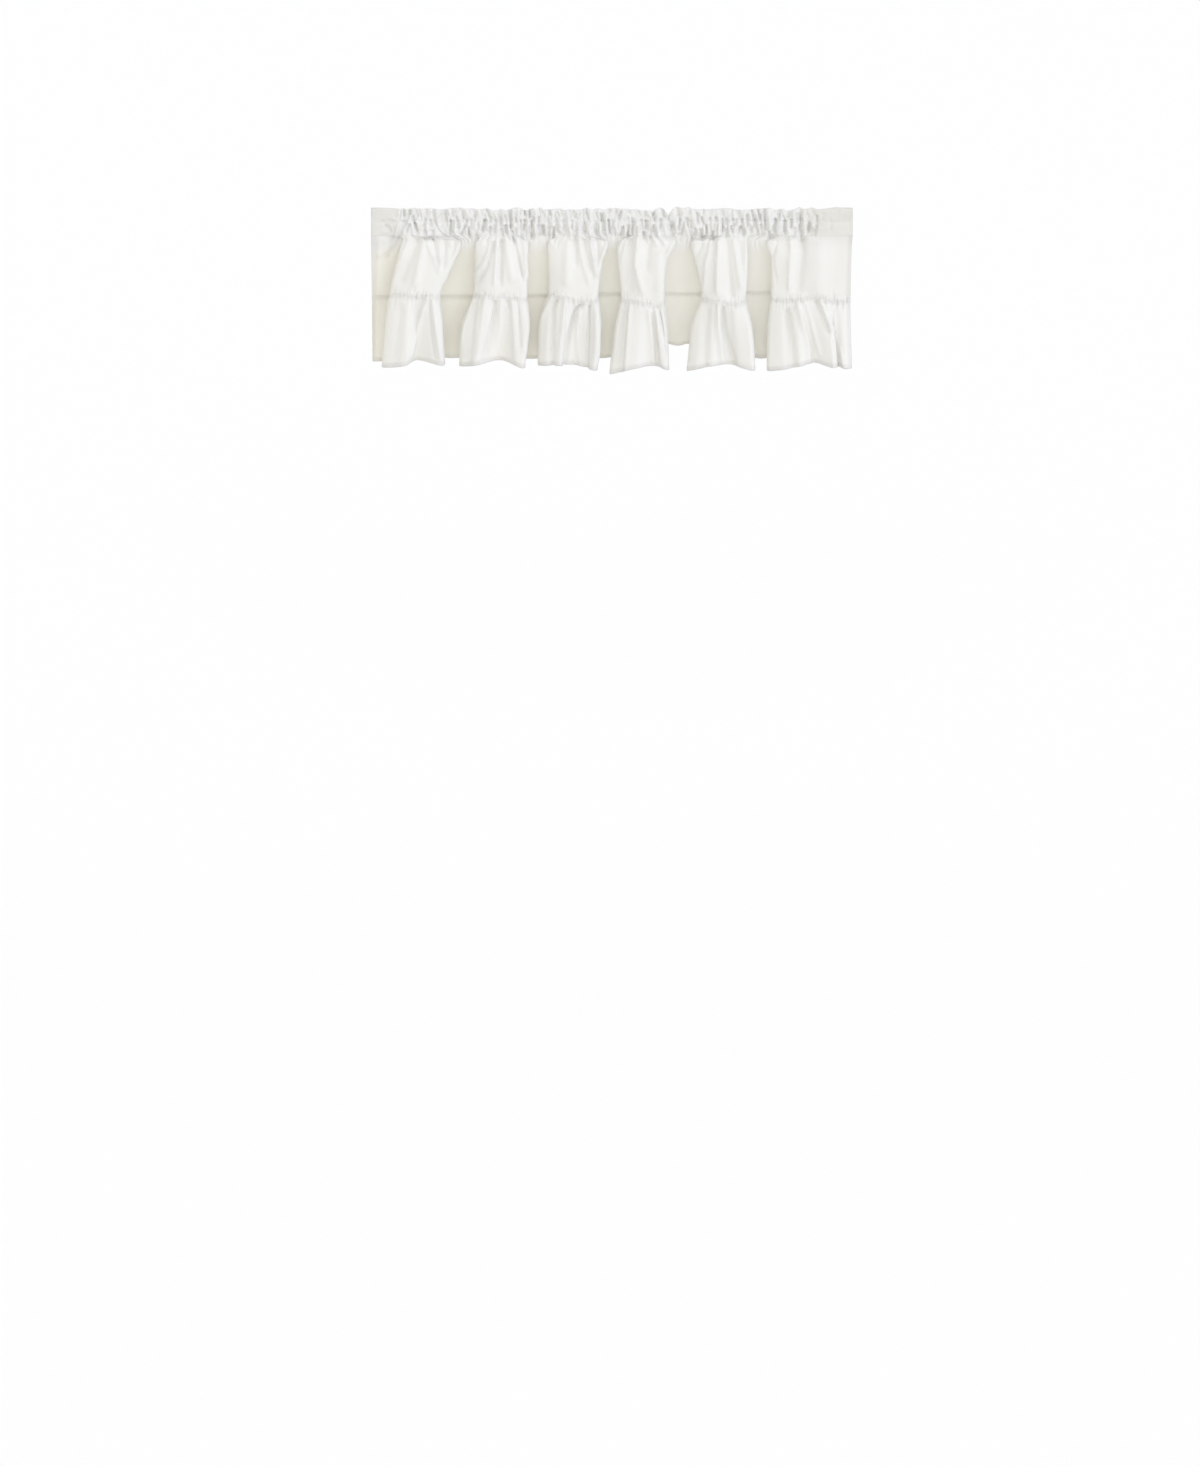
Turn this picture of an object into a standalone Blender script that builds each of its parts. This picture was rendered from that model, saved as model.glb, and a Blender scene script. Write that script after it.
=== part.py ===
"""Ruffled window valance, hanging gathered as it does on a curtain rod.

Three sewn pieces, in metres, +Z up, front towards -Y. The origin is the middle of the top edge, over the line
of the rod. The heading is one strip of cloth folded over the rod: a standing header above and a rod pocket
below it. The upper cloth hangs from the pocket in six forward folds. The ruffle is sewn on below, wider than
the cloth it hangs from, so each fold begins to open into two at its hem.
"""

import math
import random

import bmesh
import bpy

# ---------------------------------------------------------------- driving dimensions
WIDTH = 1.006              # finished width on the rod
HEADER = 0.026             # height of the standing header, above the stitch line over the rod
POCKET_FOOT = -0.0575      # height of the stitch line under the rod
SEAM = -0.192              # height of the seam between the upper cloth and the ruffle
HEM = -0.330               # height of the ruffle's hem: a 13 inch drop
CLOTH = 0.0014             # thickness of one layer with its sewing
SEWN_GAP = 0.0012          # between the middles of two sewn edges: their slanting corners are 0.3 mm apart

FLAT_LEFT = 0.045          # cloth at the left end that lies flat on the rod, not gathered
FLAT_RIGHT = 0.090         # the same at the right end
GATHERS = 60               # small gathers along the rod
GATHER_DEPTH = 0.0034      # how far a gather stands in front of or behind its layer at the rod
GATHER_LENGTH = 0.060      # how far down the upper cloth the gathers run out
PUCKER_DEPTH = 0.0016      # how far the ruffle's gathers stand out at the seam
PUCKER_LENGTH = 0.062      # how far down the ruffle they run out
STEEPEST = 0.45            # a gather's depth is at most this share of its pitch
POCKET_FRONT = 0.0060      # how far the pocket stands out in front of its stitch lines, round the rod
POCKET_BACK = 0.0188       # the same behind them
POCKET_SHOULDER = 0.011    # height over which the pocket rounds off from the rod to its stitch lines
LAYER_HALF = 0.0012        # half of the distance between the two layers where they are stitched
UNEVEN_SEED = 7            # sets the unevenness of the gathers

LEFT_END = -WIDTH / 2
RIGHT_END = WIDTH / 2

# ---------------------------------------------------------------- the hanging folds
# Heights at which the folds are given, from the pocket down. "front" and "recess" are how far the front of a
# fold and the bottom of a recess hang from the rod's line (-Y is the front), "opening" how far the ruffle's
# folds have opened, "left_end" how far the free left end has swung back to the recess, "waist" how far the
# right end is drawn in, and "seam_share" and "hem_share" how much of the seam's and the hem's lift there is.
LEVEL_COLUMNS = ("height", "front", "recess", "opening", "left_end", "waist", "seam_share", "hem_share")
LEVEL_ROWS = (
    (POCKET_FOOT, -0.003, -0.001, 0.00, 0.00, 0.000, 0.00, 0.00),
    (-0.070, -0.010, 0.000, 0.00, 0.10, 0.001, 0.00, 0.00),
    (-0.110, -0.023, 0.009, 0.00, 0.45, 0.003, 0.30, 0.00),
    (SEAM, -0.031, 0.014, 0.12, 0.80, 0.004, 1.00, 0.00),
    (-0.250, -0.038, 0.016, 0.55, 0.95, 0.003, 0.45, 0.45),
    (HEM, -0.043, 0.018, 1.00, 1.00, 0.000, 0.00, 1.00),
)
LEVELS = [dict(zip(LEVEL_COLUMNS, row)) for row in LEVEL_ROWS]
LEVEL_HEIGHTS = [-level["height"] for level in LEVELS]
SEAM_LEVEL = 3

# One row for each forward fold, left to right. "left" and "right" are the x of its two sides at the five
# heights below the pocket. "forward" scales how far it stands out. "shoulder" is where its broad left side ends
# and its front begins, and "trough" where the ruffle's fold is drawn in, both as shares of the width. "drawn" is
# how far it is drawn in at the hem. "seam" and "hem" are how much higher than their nominal heights those two
# lines hang, at the fold's left side, its shoulder, its trough and its right side.
FOLD_COLUMNS = ("left", "right", "forward", "shoulder", "trough", "drawn", "seam", "hem")
FOLD_ROWS = (
    ((-0.441, -0.450, -0.466, -0.475, -0.483), (-0.318, -0.332, -0.359, -0.354, -0.350),
     1.00, 0.38, 0.55, 0.024, (0.013, 0.013, 0.012, 0.010), (-0.006, 0.002, 0.009, 0.002)),
    ((-0.284, -0.287, -0.291, -0.316, -0.320), (-0.176, -0.175, -0.177, -0.172, -0.182),
     1.04, 0.26, 0.63, 0.026, (0.012, 0.012, 0.009, 0.008), (-0.003, 0.003, 0.009, -0.003)),
    ((-0.132, -0.133, -0.134, -0.153, -0.156), (-0.008, -0.020, -0.028, -0.022, -0.034),
     0.96, 0.30, 0.68, 0.022, (0.012, 0.010, 0.001, 0.003), (-0.002, 0.002, -0.001, -0.008)),
    ((0.016, 0.012, 0.018, 0.006, -0.005), (0.133, 0.115, 0.110, 0.116, 0.120),
     1.10, 0.44, 0.76, 0.016, (0.003, 0.000, -0.007, -0.003), (-0.019, -0.003, 0.000, -0.006)),
    ((0.171, 0.173, 0.187, 0.167, 0.157), (0.282, 0.281, 0.280, 0.294, 0.300),
     1.00, 0.34, 0.64, 0.020, (0.004, 0.002, -0.003, 0.000), (-0.012, 0.000, 0.001, -0.008)),
    ((0.325, 0.333, 0.332, 0.326, 0.325), (0.465, 0.465, 0.460, 0.463, 0.470),
     1.06, 0.46, 0.66, 0.026, (0.004, 0.005, 0.009, 0.002), (-0.013, -0.001, 0.004, -0.002)),
)
FOLDS = [dict(zip(FOLD_COLUMNS, row)) for row in FOLD_ROWS]

# One row for the recess after each fold but the last: the lift of its seam and of its hem, and how deep it is
# against the others. The two ends of the cloth have such lifts too.
RECESS_COLUMNS = ("seam", "hem", "depth")
RECESS_ROWS = (
    (0.004, 0.005, 1.00),
    (0.006, 0.004, 0.90),
    (0.009, 0.005, 0.95),
    (0.008, 0.031, 1.15),
    (0.011, 0.004, 1.00),
)
RECESSES = [dict(zip(RECESS_COLUMNS, row)) for row in RECESS_ROWS]
LEFT_END_LIFT = (0.003, -0.002)
RIGHT_END_LIFT = (0.000, -0.006)

LEFT_EDGE = (0.05, 0.30)   # where a fold's left edge ends and its broad left side begins: shares of its width
                           # and of the way back to the recess
RIGHT_SHOULDER = 0.05      # the same at its right side
CROWN = 0.004              # how far a fold that has not opened stands out in its middle
CORNER = 0.95              # depth of a recess's corners, as a share of the way back to its bottom
TUCK = 0.010               # how far those corners are hidden behind the folds beside them
LAST_TURN = 0.30           # how far back the last fold's hem turns before the flat right end
END_TURN = (0.08, 0.25)    # how far back the right end lies, at its middle and at its edge

# The main creases on the fronts of the folds. Each runs from a place on the pocket or the seam down to its
# foot, and stands out of the fold's face by "out", or is drawn in where that is below 0.
CREASE_COLUMNS = ("x_head", "x_foot", "head", "foot", "half_width", "out")
CREASE_ROWS = (
    (-0.402, -0.444, -0.061, -0.167, 0.014, -0.005),
    (-0.391, -0.412, -0.061, -0.171, 0.012, 0.004),
    (-0.349, -0.351, -0.070, -0.130, 0.010, -0.004),
    (-0.248, -0.283, -0.070, -0.165, 0.011, -0.005),
    (-0.223, -0.208, -0.061, -0.160, 0.014, 0.004),
    (-0.094, -0.094, -0.061, -0.150, 0.014, 0.004),
    (-0.063, -0.045, -0.065, -0.130, 0.010, -0.004),
    (-0.033, -0.028, -0.061, -0.120, 0.012, -0.005),
    (0.040, 0.035, -0.065, -0.180, 0.015, -0.006),
    (0.050, 0.060, -0.061, -0.180, 0.011, 0.005),
    (0.075, 0.072, -0.070, -0.130, 0.014, -0.004),
    (0.214, 0.209, -0.061, -0.180, 0.011, -0.004),
    (0.224, 0.220, -0.061, -0.185, 0.010, 0.005),
    (0.239, 0.249, -0.065, -0.180, 0.013, -0.005),
    (0.375, 0.371, -0.061, -0.175, 0.014, 0.005),
    (0.398, 0.389, -0.061, -0.185, 0.017, -0.006),
    (-0.386, -0.423, -0.195, -0.320, 0.012, 0.005),
    (-0.288, -0.302, -0.210, -0.330, 0.012, -0.004),
    (-0.244, -0.264, -0.195, -0.325, 0.010, -0.005),
    (-0.123, -0.127, -0.200, -0.335, 0.013, -0.006),
    (-0.098, -0.110, -0.195, -0.335, 0.012, 0.006),
    (-0.073, -0.098, -0.200, -0.335, 0.010, -0.006),
    (0.028, 0.014, -0.200, -0.335, 0.015, -0.006),
    (0.197, 0.193, -0.200, -0.335, 0.017, -0.005),
    (0.222, 0.230, -0.195, -0.325, 0.011, 0.006),
    (0.233, 0.256, -0.200, -0.325, 0.011, -0.007),
    (0.366, 0.379, -0.205, -0.335, 0.024, -0.009),
    (0.389, 0.416, -0.195, -0.330, 0.012, 0.006),
)
CREASES = [dict(zip(CREASE_COLUMNS, row)) for row in CREASE_ROWS]
CREASE_FADE = 0.018        # length over which a crease starts and dies out

# ---------------------------------------------------------------- the heading's section
# The folded strip seen from its right end: half of it, from the stitch line under the rod up the back to the
# header's top fold. "gather" is how strongly the strip is gathered there, and "top_edge" how much it follows
# the uneven top edge.
TOP_FOLD = -CLOTH / 2
PROFILE_COLUMNS = ("y", "z", "gather", "top_edge")


def half_profile(side, pocket):
    return (
        (side * LAYER_HALF, POCKET_FOOT, 0.8, 0.0),
        (side * LAYER_HALF, POCKET_FOOT + 0.0015, 0.8, 0.0),
        (side * 0.84 * pocket, POCKET_FOOT + 0.5 * POCKET_SHOULDER, 1.0, 0.0),
        (side * pocket, POCKET_FOOT + POCKET_SHOULDER, 1.0, 0.0),
        (side * pocket, -HEADER - POCKET_SHOULDER, 1.0, 0.0),
        (side * 0.84 * pocket, -HEADER - 0.5 * POCKET_SHOULDER, 1.0, 0.0),
        (side * LAYER_HALF, -HEADER - 0.0015, 0.8, 0.0),
        (side * 1.25 * LAYER_HALF, TOP_FOLD - 0.002, 0.9, 1.0),
    )


FOLD_ROW = (0.0, TOP_FOLD, 0.9, 1.0)
PROFILE_ROWS = half_profile(1.0, POCKET_BACK) + (FOLD_ROW,) + tuple(reversed(half_profile(-1.0, POCKET_FRONT)))
PROFILE = [dict(zip(PROFILE_COLUMNS, row)) for row in PROFILE_ROWS]

# The header's top edge: bumps, and the one deep notch with a bump at each side of it.
BUMP_COLUMNS = ("x", "half_width", "height")
BUMP_ROWS = (
    (-0.250, 0.020, 0.0015),
    (-0.060, 0.025, 0.0010),
    (0.104, 0.012, 0.0020),
    (0.118, 0.009, -0.0100),
    (0.146, 0.016, 0.0030),
    (0.300, 0.030, -0.0010),
)
BUMPS = [dict(zip(BUMP_COLUMNS, row)) for row in BUMP_ROWS]

# ---------------------------------------------------------------- mesh densities
COLUMNS = 2 * GATHERS
UPPER_HEIGHTS = (POCKET_FOOT - SEWN_GAP, -0.067, -0.083, -0.110, -0.148, SEAM)
RUFFLE_HEIGHTS = (SEAM - SEWN_GAP, -0.205, -0.226, -0.258, -0.295, HEM)


def mix(a, b, t):
    return a + (b - a) * t


def ease(t):
    """Goes from 0 to 1 with a soft start and end."""
    t = min(1.0, max(0.0, t))
    return t * t * (3.0 - 2.0 * t)


def curve_value(knots, values, at):
    """A smooth curve through the values at the knots, flat past its ends."""
    if at <= knots[0]:
        return values[0]
    if at >= knots[-1]:
        return values[-1]
    i = 0
    while at > knots[i + 1]:
        i += 1

    def slope(k):
        before, after = max(k - 1, 0), min(k + 1, len(knots) - 1)
        return (values[after] - values[before]) / (knots[after] - knots[before])

    span = knots[i + 1] - knots[i]
    t = (at - knots[i]) / span
    start = (2 * t ** 3 - 3 * t ** 2 + 1) * values[i] + (t ** 3 - 2 * t ** 2 + t) * span * slope(i)
    finish = (3 * t ** 2 - 2 * t ** 3) * values[i + 1] + (t ** 3 - t ** 2) * span * slope(i + 1)
    return start + finish


def section_points(number):
    """The hanging cloth seen from above at one level: (x, y, lift) points, left to right."""
    level = LEVELS[number]
    side = max(number - 1, 0)
    recess = level["recess"]
    end_y = mix(level["front"], recess, level["left_end"])
    first_left = FOLDS[0]["left"][side]

    def lift(seam, hem):
        return seam * level["seam_share"] + hem * level["hem_share"]

    def side_lift(beside, fold_lift):
        return mix(beside, fold_lift, mix(0.5, 1.0, level["hem_share"]))

    left_lift, right_lift = lift(*LEFT_END_LIFT), lift(*RIGHT_END_LIFT)
    points = [(LEFT_END, end_y, left_lift), (mix(LEFT_END, first_left, 0.6), mix(end_y, recess, 0.8), left_lift)]
    for fold, before, after in zip(FOLDS, [None] + RECESSES, RECESSES + [None]):
        left, right = fold["left"][side], fold["right"][side]
        width = right - left
        front = level["front"] * fold["forward"]
        tuck = TUCK * level["left_end"]
        lifts = [lift(seam, hem) for seam, hem in zip(fold["seam"], fold["hem"])]
        lift_before = lift(before["seam"], before["hem"]) if before else left_lift
        lift_after = lift(after["seam"], after["hem"]) if after else right_lift
        trough_y = front + fold["drawn"] * level["opening"] - CROWN * (1 - level["opening"])
        depth_before = before["depth"] if before else 1.0
        points.append((left + tuck, mix(front, recess * depth_before, CORNER), lift_before))
        points.append((left, mix(front, recess, 0.5), side_lift(lift_before, lifts[0])))
        points.append((left + LEFT_EDGE[0] * width, mix(front, recess, LEFT_EDGE[1]), lifts[0]))
        points.append((left + fold["shoulder"] * width, front, lifts[1]))
        points.append((left + fold["trough"] * width, trough_y, lifts[2]))
        points.append((right - RIGHT_SHOULDER * width, front, lifts[3]))
        if after:
            following = FOLDS[FOLDS.index(fold) + 1]["left"][side]
            points.append((right, mix(front, recess, 0.5), side_lift(lift_after, lifts[3])))
            points.append((right - tuck, mix(front, recess * after["depth"], CORNER), lift_after))
            points.append((mix(right, following, 0.5), recess * after["depth"], lift_after))
    last_right = FOLDS[-1]["right"][side]
    right_end = RIGHT_END - level["waist"]
    turned = mix(0.3, 1.0, level["opening"])
    points.append((last_right, mix(level["front"], recess, LAST_TURN * level["opening"]), lifts[3]))
    points.append((mix(last_right, right_end, 0.55), mix(level["front"], recess, END_TURN[0] * turned), right_lift))
    points.append((right_end, mix(level["front"], recess, END_TURN[1] * turned), right_lift))
    return points


def cloth_knots(points):
    """How far along the cloth each point of a section lies, in metres."""
    along = [0.0]
    for (x0, y0, _), (x1, y1, _) in zip(points, points[1:]):
        along.append(along[-1] + math.hypot(x1 - x0, y1 - y0))
    return along


SECTIONS = [section_points(number) for number in range(len(LEVELS))]
KNOTS = cloth_knots(SECTIONS[SEAM_LEVEL])
CLOTH_WIDTH = KNOTS[-1]


def x_on_rod(along):
    """On the rod the two ends lie flat and all the cloth between them is gathered evenly."""
    gathered = CLOTH_WIDTH - FLAT_LEFT - FLAT_RIGHT
    on_rod = WIDTH - FLAT_LEFT - FLAT_RIGHT
    if along < FLAT_LEFT:
        return LEFT_END + along
    if along > CLOTH_WIDTH - FLAT_RIGHT:
        return RIGHT_END - (CLOTH_WIDTH - along)
    return LEFT_END + FLAT_LEFT + (along - FLAT_LEFT) * on_rod / gathered


# At the pocket the folds have not opened yet, so their points lie where the gathering puts them.
SECTIONS[0] = [(x_on_rod(along), y, lift) for along, (_, y, lift) in zip(KNOTS, SECTIONS[0])]


def hang(share, height):
    """Where the cloth hangs: x, y and its lift, at a share of its width and a height."""
    along = share * CLOTH_WIDTH
    place = []
    for axis in range(3):
        values = [curve_value(KNOTS, [point[axis] for point in section], along) for section in SECTIONS]
        place.append(curve_value(LEVEL_HEIGHTS, values, -height))
    return place


def crease_out(x, y, height):
    """How far the creases push a fold's face out at a point. They lie on the fronts, not in the recesses."""
    front = curve_value(LEVEL_HEIGHTS, [level["front"] for level in LEVELS], -height)
    recess = curve_value(LEVEL_HEIGHTS, [level["recess"] for level in LEVELS], -height)
    on_front = ease((mix(front, recess, 0.62) - y) / (0.5 * (recess - front)))
    out = 0.0
    for crease in CREASES:
        run = (crease["head"] - height) / (crease["head"] - crease["foot"])
        centre = mix(crease["x_head"], crease["x_foot"], min(1.0, max(0.0, run)))
        starts = ease((crease["head"] - height) / CREASE_FADE + 0.5)
        ends = ease((height - crease["foot"]) / CREASE_FADE + 0.5)
        across = math.exp(-((x - centre) / crease["half_width"]) ** 2)
        out += crease["out"] * starts * ends * across
    return out * on_front


def gather_table():
    """The gathers' ridges and hollows in turn, each uneven in depth, and fading out at the flat ends."""
    dice = random.Random(UNEVEN_SEED)
    table = []
    for k in range(COLUMNS + 1):
        along = k / COLUMNS * CLOTH_WIDTH
        from_left = ease((along - FLAT_LEFT) / 0.060 + 0.4)
        from_right = ease((CLOTH_WIDTH - FLAT_RIGHT - along) / 0.080 + 0.6)
        side = 1.0 if k % 2 else -1.0
        table.append(side * from_left * from_right * (0.65 + 0.55 * dice.random()))
    return table


GATHER = gather_table()


def hang_gathered(column, height, depth):
    """A point of the hanging cloth, moved out of its face by the creases and by its gather."""
    x, y, lift = hang(column / COLUMNS, height)
    x0, y0, _ = hang(max(column - 0.5, 0) / COLUMNS, height)
    x1, y1, _ = hang(min(column + 0.5, COLUMNS) / COLUMNS, height)
    pitch = math.hypot(x1 - x0, y1 - y0)
    out = crease_out(x, y, height) - GATHER[column] * min(depth, STEEPEST * pitch)
    return x + out * (y1 - y0) / pitch, y - out * (x1 - x0) / pitch, lift


def top_edge(x):
    return sum(bump["height"] * math.exp(-((x - bump["x"]) / bump["half_width"]) ** 2) for bump in BUMPS)


def place_heading(column, row):
    x = hang(column / COLUMNS, POCKET_FOOT)[0]
    at = PROFILE[row]
    return x, at["y"] + GATHER[column] * GATHER_DEPTH * at["gather"], at["z"] + at["top_edge"] * top_edge(x)


def place_upper(column, row):
    height = UPPER_HEIGHTS[row]
    fade = 0.8 * (1.0 - ease((POCKET_FOOT - height) / GATHER_LENGTH))
    x, y, lift = hang_gathered(column, height, GATHER_DEPTH * fade)
    return x, y, height + lift


def place_ruffle(column, row):
    height = RUFFLE_HEIGHTS[row]
    fade = 1.0 - ease((SEAM - height) / PUCKER_LENGTH)
    x, y, lift = hang_gathered(column, height, PUCKER_DEPTH * fade)
    return x, y, height + lift


def new_material(name, red, green, blue):
    material = bpy.data.materials.new(name)
    material.use_nodes = True
    shader = material.node_tree.nodes["Principled BSDF"]
    shader.inputs["Base Color"].default_value = (red, green, blue, 1.0)
    shader.inputs["Roughness"].default_value = 0.85
    shader.inputs["Metallic"].default_value = 0.0
    return material


def cloth_sheet(name, collection, place, rows, colour):
    """A sheet of cloth: a flat grid, each point put in place, then given its thickness."""
    mesh = bpy.data.meshes.new(name)
    sheet = bmesh.new()
    bmesh.ops.create_grid(sheet, x_segments=COLUMNS, y_segments=rows - 1, size=0.5)
    for vertex in sheet.verts:
        column = round((vertex.co.x + 0.5) * COLUMNS)
        row = round((vertex.co.y + 0.5) * (rows - 1))
        vertex.co = place(column, row)
    sheet.to_mesh(mesh)
    sheet.free()
    mesh.shade_smooth()
    piece = bpy.data.objects.new(name, mesh)
    piece.data.materials.append(new_material(name + "_cotton", *colour))
    collection.objects.link(piece)
    thickness = piece.modifiers.new("cloth thickness", "SOLIDIFY")
    thickness.thickness = CLOTH
    thickness.offset = 0.0


def build():
    for old in list(bpy.data.objects):
        bpy.data.objects.remove(old, do_unlink=True)
    valance = bpy.data.collections.new("window_valance")
    bpy.context.scene.collection.children.link(valance)
    cloth_sheet("heading", valance, place_heading, len(PROFILE), (0.80, 0.80, 0.77))
    cloth_sheet("upper_cloth", valance, place_upper, len(UPPER_HEIGHTS), (0.85, 0.85, 0.82))
    cloth_sheet("ruffle", valance, place_ruffle, len(RUFFLE_HEIGHTS), (0.85, 0.85, 0.82))


build()
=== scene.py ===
"""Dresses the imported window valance: gathered, sewn and hemmed cotton on its folds, soft light and a camera.

Lengths are in metres, or in millimetres where a table's heading says so. +Z is up and the front faces -Y.
"down" is the distance below the top edge. "along" runs along the cloth from its left end, as measured at the
seam.
"""

import math

import bmesh
import bpy
import numpy as np
from mathutils import Matrix, Vector


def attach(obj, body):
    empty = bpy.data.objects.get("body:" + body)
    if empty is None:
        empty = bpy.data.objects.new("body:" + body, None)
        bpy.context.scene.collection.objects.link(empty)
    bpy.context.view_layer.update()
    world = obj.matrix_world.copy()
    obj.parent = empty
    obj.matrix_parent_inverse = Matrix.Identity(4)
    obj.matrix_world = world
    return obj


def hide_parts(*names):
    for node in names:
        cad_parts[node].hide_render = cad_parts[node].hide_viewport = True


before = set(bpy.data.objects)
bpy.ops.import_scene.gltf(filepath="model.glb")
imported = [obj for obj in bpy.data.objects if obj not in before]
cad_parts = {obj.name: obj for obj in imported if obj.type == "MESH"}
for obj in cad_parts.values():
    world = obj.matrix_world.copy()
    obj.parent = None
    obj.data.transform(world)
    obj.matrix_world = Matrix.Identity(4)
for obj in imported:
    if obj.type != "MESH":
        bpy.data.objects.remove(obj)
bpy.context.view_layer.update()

MM = 0.001

# ---------------------------------------------------------------- the valance's sizes
WIDTH = 1.006
HEADER = 0.026             # down to the stitch line over the rod
POCKET_FOOT = 0.0575       # down to the stitch line under the rod
SEAM = 0.192               # down to the seam between the upper cloth and the ruffle
HEM = 0.330                # down to the ruffle's hem
LEFT_END = -WIDTH / 2
RIGHT_END = WIDTH / 2
FLAT_LEFT = 0.045          # cloth that lies flat on the rod at the left end
FLAT_RIGHT = 0.090         # the same at the right end
RUFFLE_CUT = 2.0           # length of the strip that the ruffle is gathered from

CLOTH = 0.55 * MM          # thickness of one layer
LAYER_HALF = 1.2 * MM      # half of the distance between the heading's two layers where they are stitched
FOOT_FRONT = 5.1 * MM      # how far in front of the rod's line the folds pull the pocket's foot
FOOT_PULL = 0.008          # height above the foot over which they do
FOOT_STEP = 0.35 * MM      # how far the pocket's foot stands in front of the upper cloth sewn into it
SEWN_IN = 0.0012           # how far the upper cloth reaches up between the heading's layers
SEWN_BACK = 1.6 * MM       # how far that hidden edge is drawn back between them
POCKET_FRONT = 6.0 * MM    # how far the pocket stands out round the rod, in front
POCKET_BACK = 18.5 * MM    # the same behind
POCKET_SHOULDER = 0.011    # height over which the pocket rounds off to its stitch lines
STITCHED = 0.0015          # height beside a stitch line over which the layers lie flat together
HEM_TURN = 0.008           # height of the narrow hem that is turned up behind
SIDE_TURN = 0.009          # width of the side hems
ALLOWANCE = 0.009          # seam allowance, pressed down behind the ruffle
BEHIND = 0.7 * MM          # how far a turned layer lies behind the one it is sewn to
SEAM_BEND = 0.002          # height over which the seam allowance bends back that far
HEM_BEND = 0.001           # the same for the hem
GROOVE = 0.25 * MM         # how far the seam is drawn in
GROOVE_HALF = 0.003        # height above and below the seam over which it is
UPPER_CREASING = 1.1       # the upper cloth's creases stand out this many times what their table gives
RUFFLE_CREASING = 1.35     # the same for the ruffle
FLAT_PUCKERS = 0.15        # depth of the seam's puckers in the recesses, as a share of those on the folds
HEADING_WAVES = 0.30 * MM  # size of the soft waves all over the heading
CLOTH_WAVES = 0.35 * MM    # the same for the upper cloth and the ruffle
WAVES = 14                 # how many of them lie over each other
WAVES_START = 0.02         # height below the pocket over which they begin in the upper cloth

STITCH_PITCH = 3.0 * MM    # from one machine stitch to the next
STITCH_SHARE = 0.6         # how much of that the thread shows
STITCH_HALF = 0.22 * MM    # half the thread's thickness
STITCH_PROUD = 0.12 * MM   # how far its middle stands above the cloth
STITCH_IN = 0.001          # from the turned edge of the hem to its stitches
STITCH_DENT = 0.35 * MM    # how far they draw the cloth in
STITCH_DENT_HALF = 0.0012  # half the height of that dent

# ---------------------------------------------------------------- how the cloth looks
# The darker tone with its painted shade, and the painted warm light, are given as shares from 0 to 1.
THROUGH = 0.41             # share of the light that goes through the cloth
SINGLE = 0.22              # how much of the darker tone a single layer has, evenly all over it
FLAT_PAINTED_SHADE = 0.30           # painted shade on the heading's flat ends, where less light comes through their layers
CLEARING = 0.035           # height below the pocket over which half of that clears
FLAT_PAINTED_WARM_LIGHT = 0.25           # painted warm light on the heading's flat ends
HEM_PAINTED_SHADE = 0.06            # painted shade where the turned hem lies behind the cloth and less light comes through
RECESS_PAINTED_WARM_LIGHT = (0.60, 0.35)    # painted warm light in the recesses, at the left and at the right of the valance
RECESSED_START = 0.01      # height below the pocket where that painted warm light begins
RECESSED_FADE = 0.045      # and over which it grows to its full share

# ---------------------------------------------------------------- the hanging folds
# The levels at which the folds are given, from the pocket's foot down. "front" and "recess" are how far the
# front of a fold and the bottom of a recess hang from the rod's line, "opening" how far the ruffle's folds
# have opened, "left_end" how far the free left end has swung back to the recess, "waist" how far the right
# end is drawn in, and "seam_share" and "hem_share" how much of the seam's and the hem's lift there is.
LEVEL_COLUMNS = ("down", "front", "recess", "opening", "left_end", "waist", "seam_share", "hem_share")
LEVEL_ROWS = (
    (POCKET_FOOT, -0.0085, -0.003, 0.00, 0.00, 0.000, 0.00, 0.00),
    (0.070, -0.010, 0.000, 0.00, 0.10, 0.001, 0.00, 0.00),
    (0.110, -0.023, 0.009, 0.00, 0.60, 0.003, 0.30, 0.00),
    (SEAM, -0.031, 0.014, 0.12, 0.80, 0.004, 1.00, 0.00),
    (0.250, -0.038, 0.016, 0.55, 0.95, 0.003, 0.45, 0.45),
    (HEM, -0.043, 0.018, 1.00, 1.00, 0.000, 0.00, 1.00),
)
LEVELS = [dict(zip(LEVEL_COLUMNS, row)) for row in LEVEL_ROWS]
LEVEL_DOWNS = [level["down"] for level in LEVELS]
SEAM_LEVEL = 3

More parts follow.
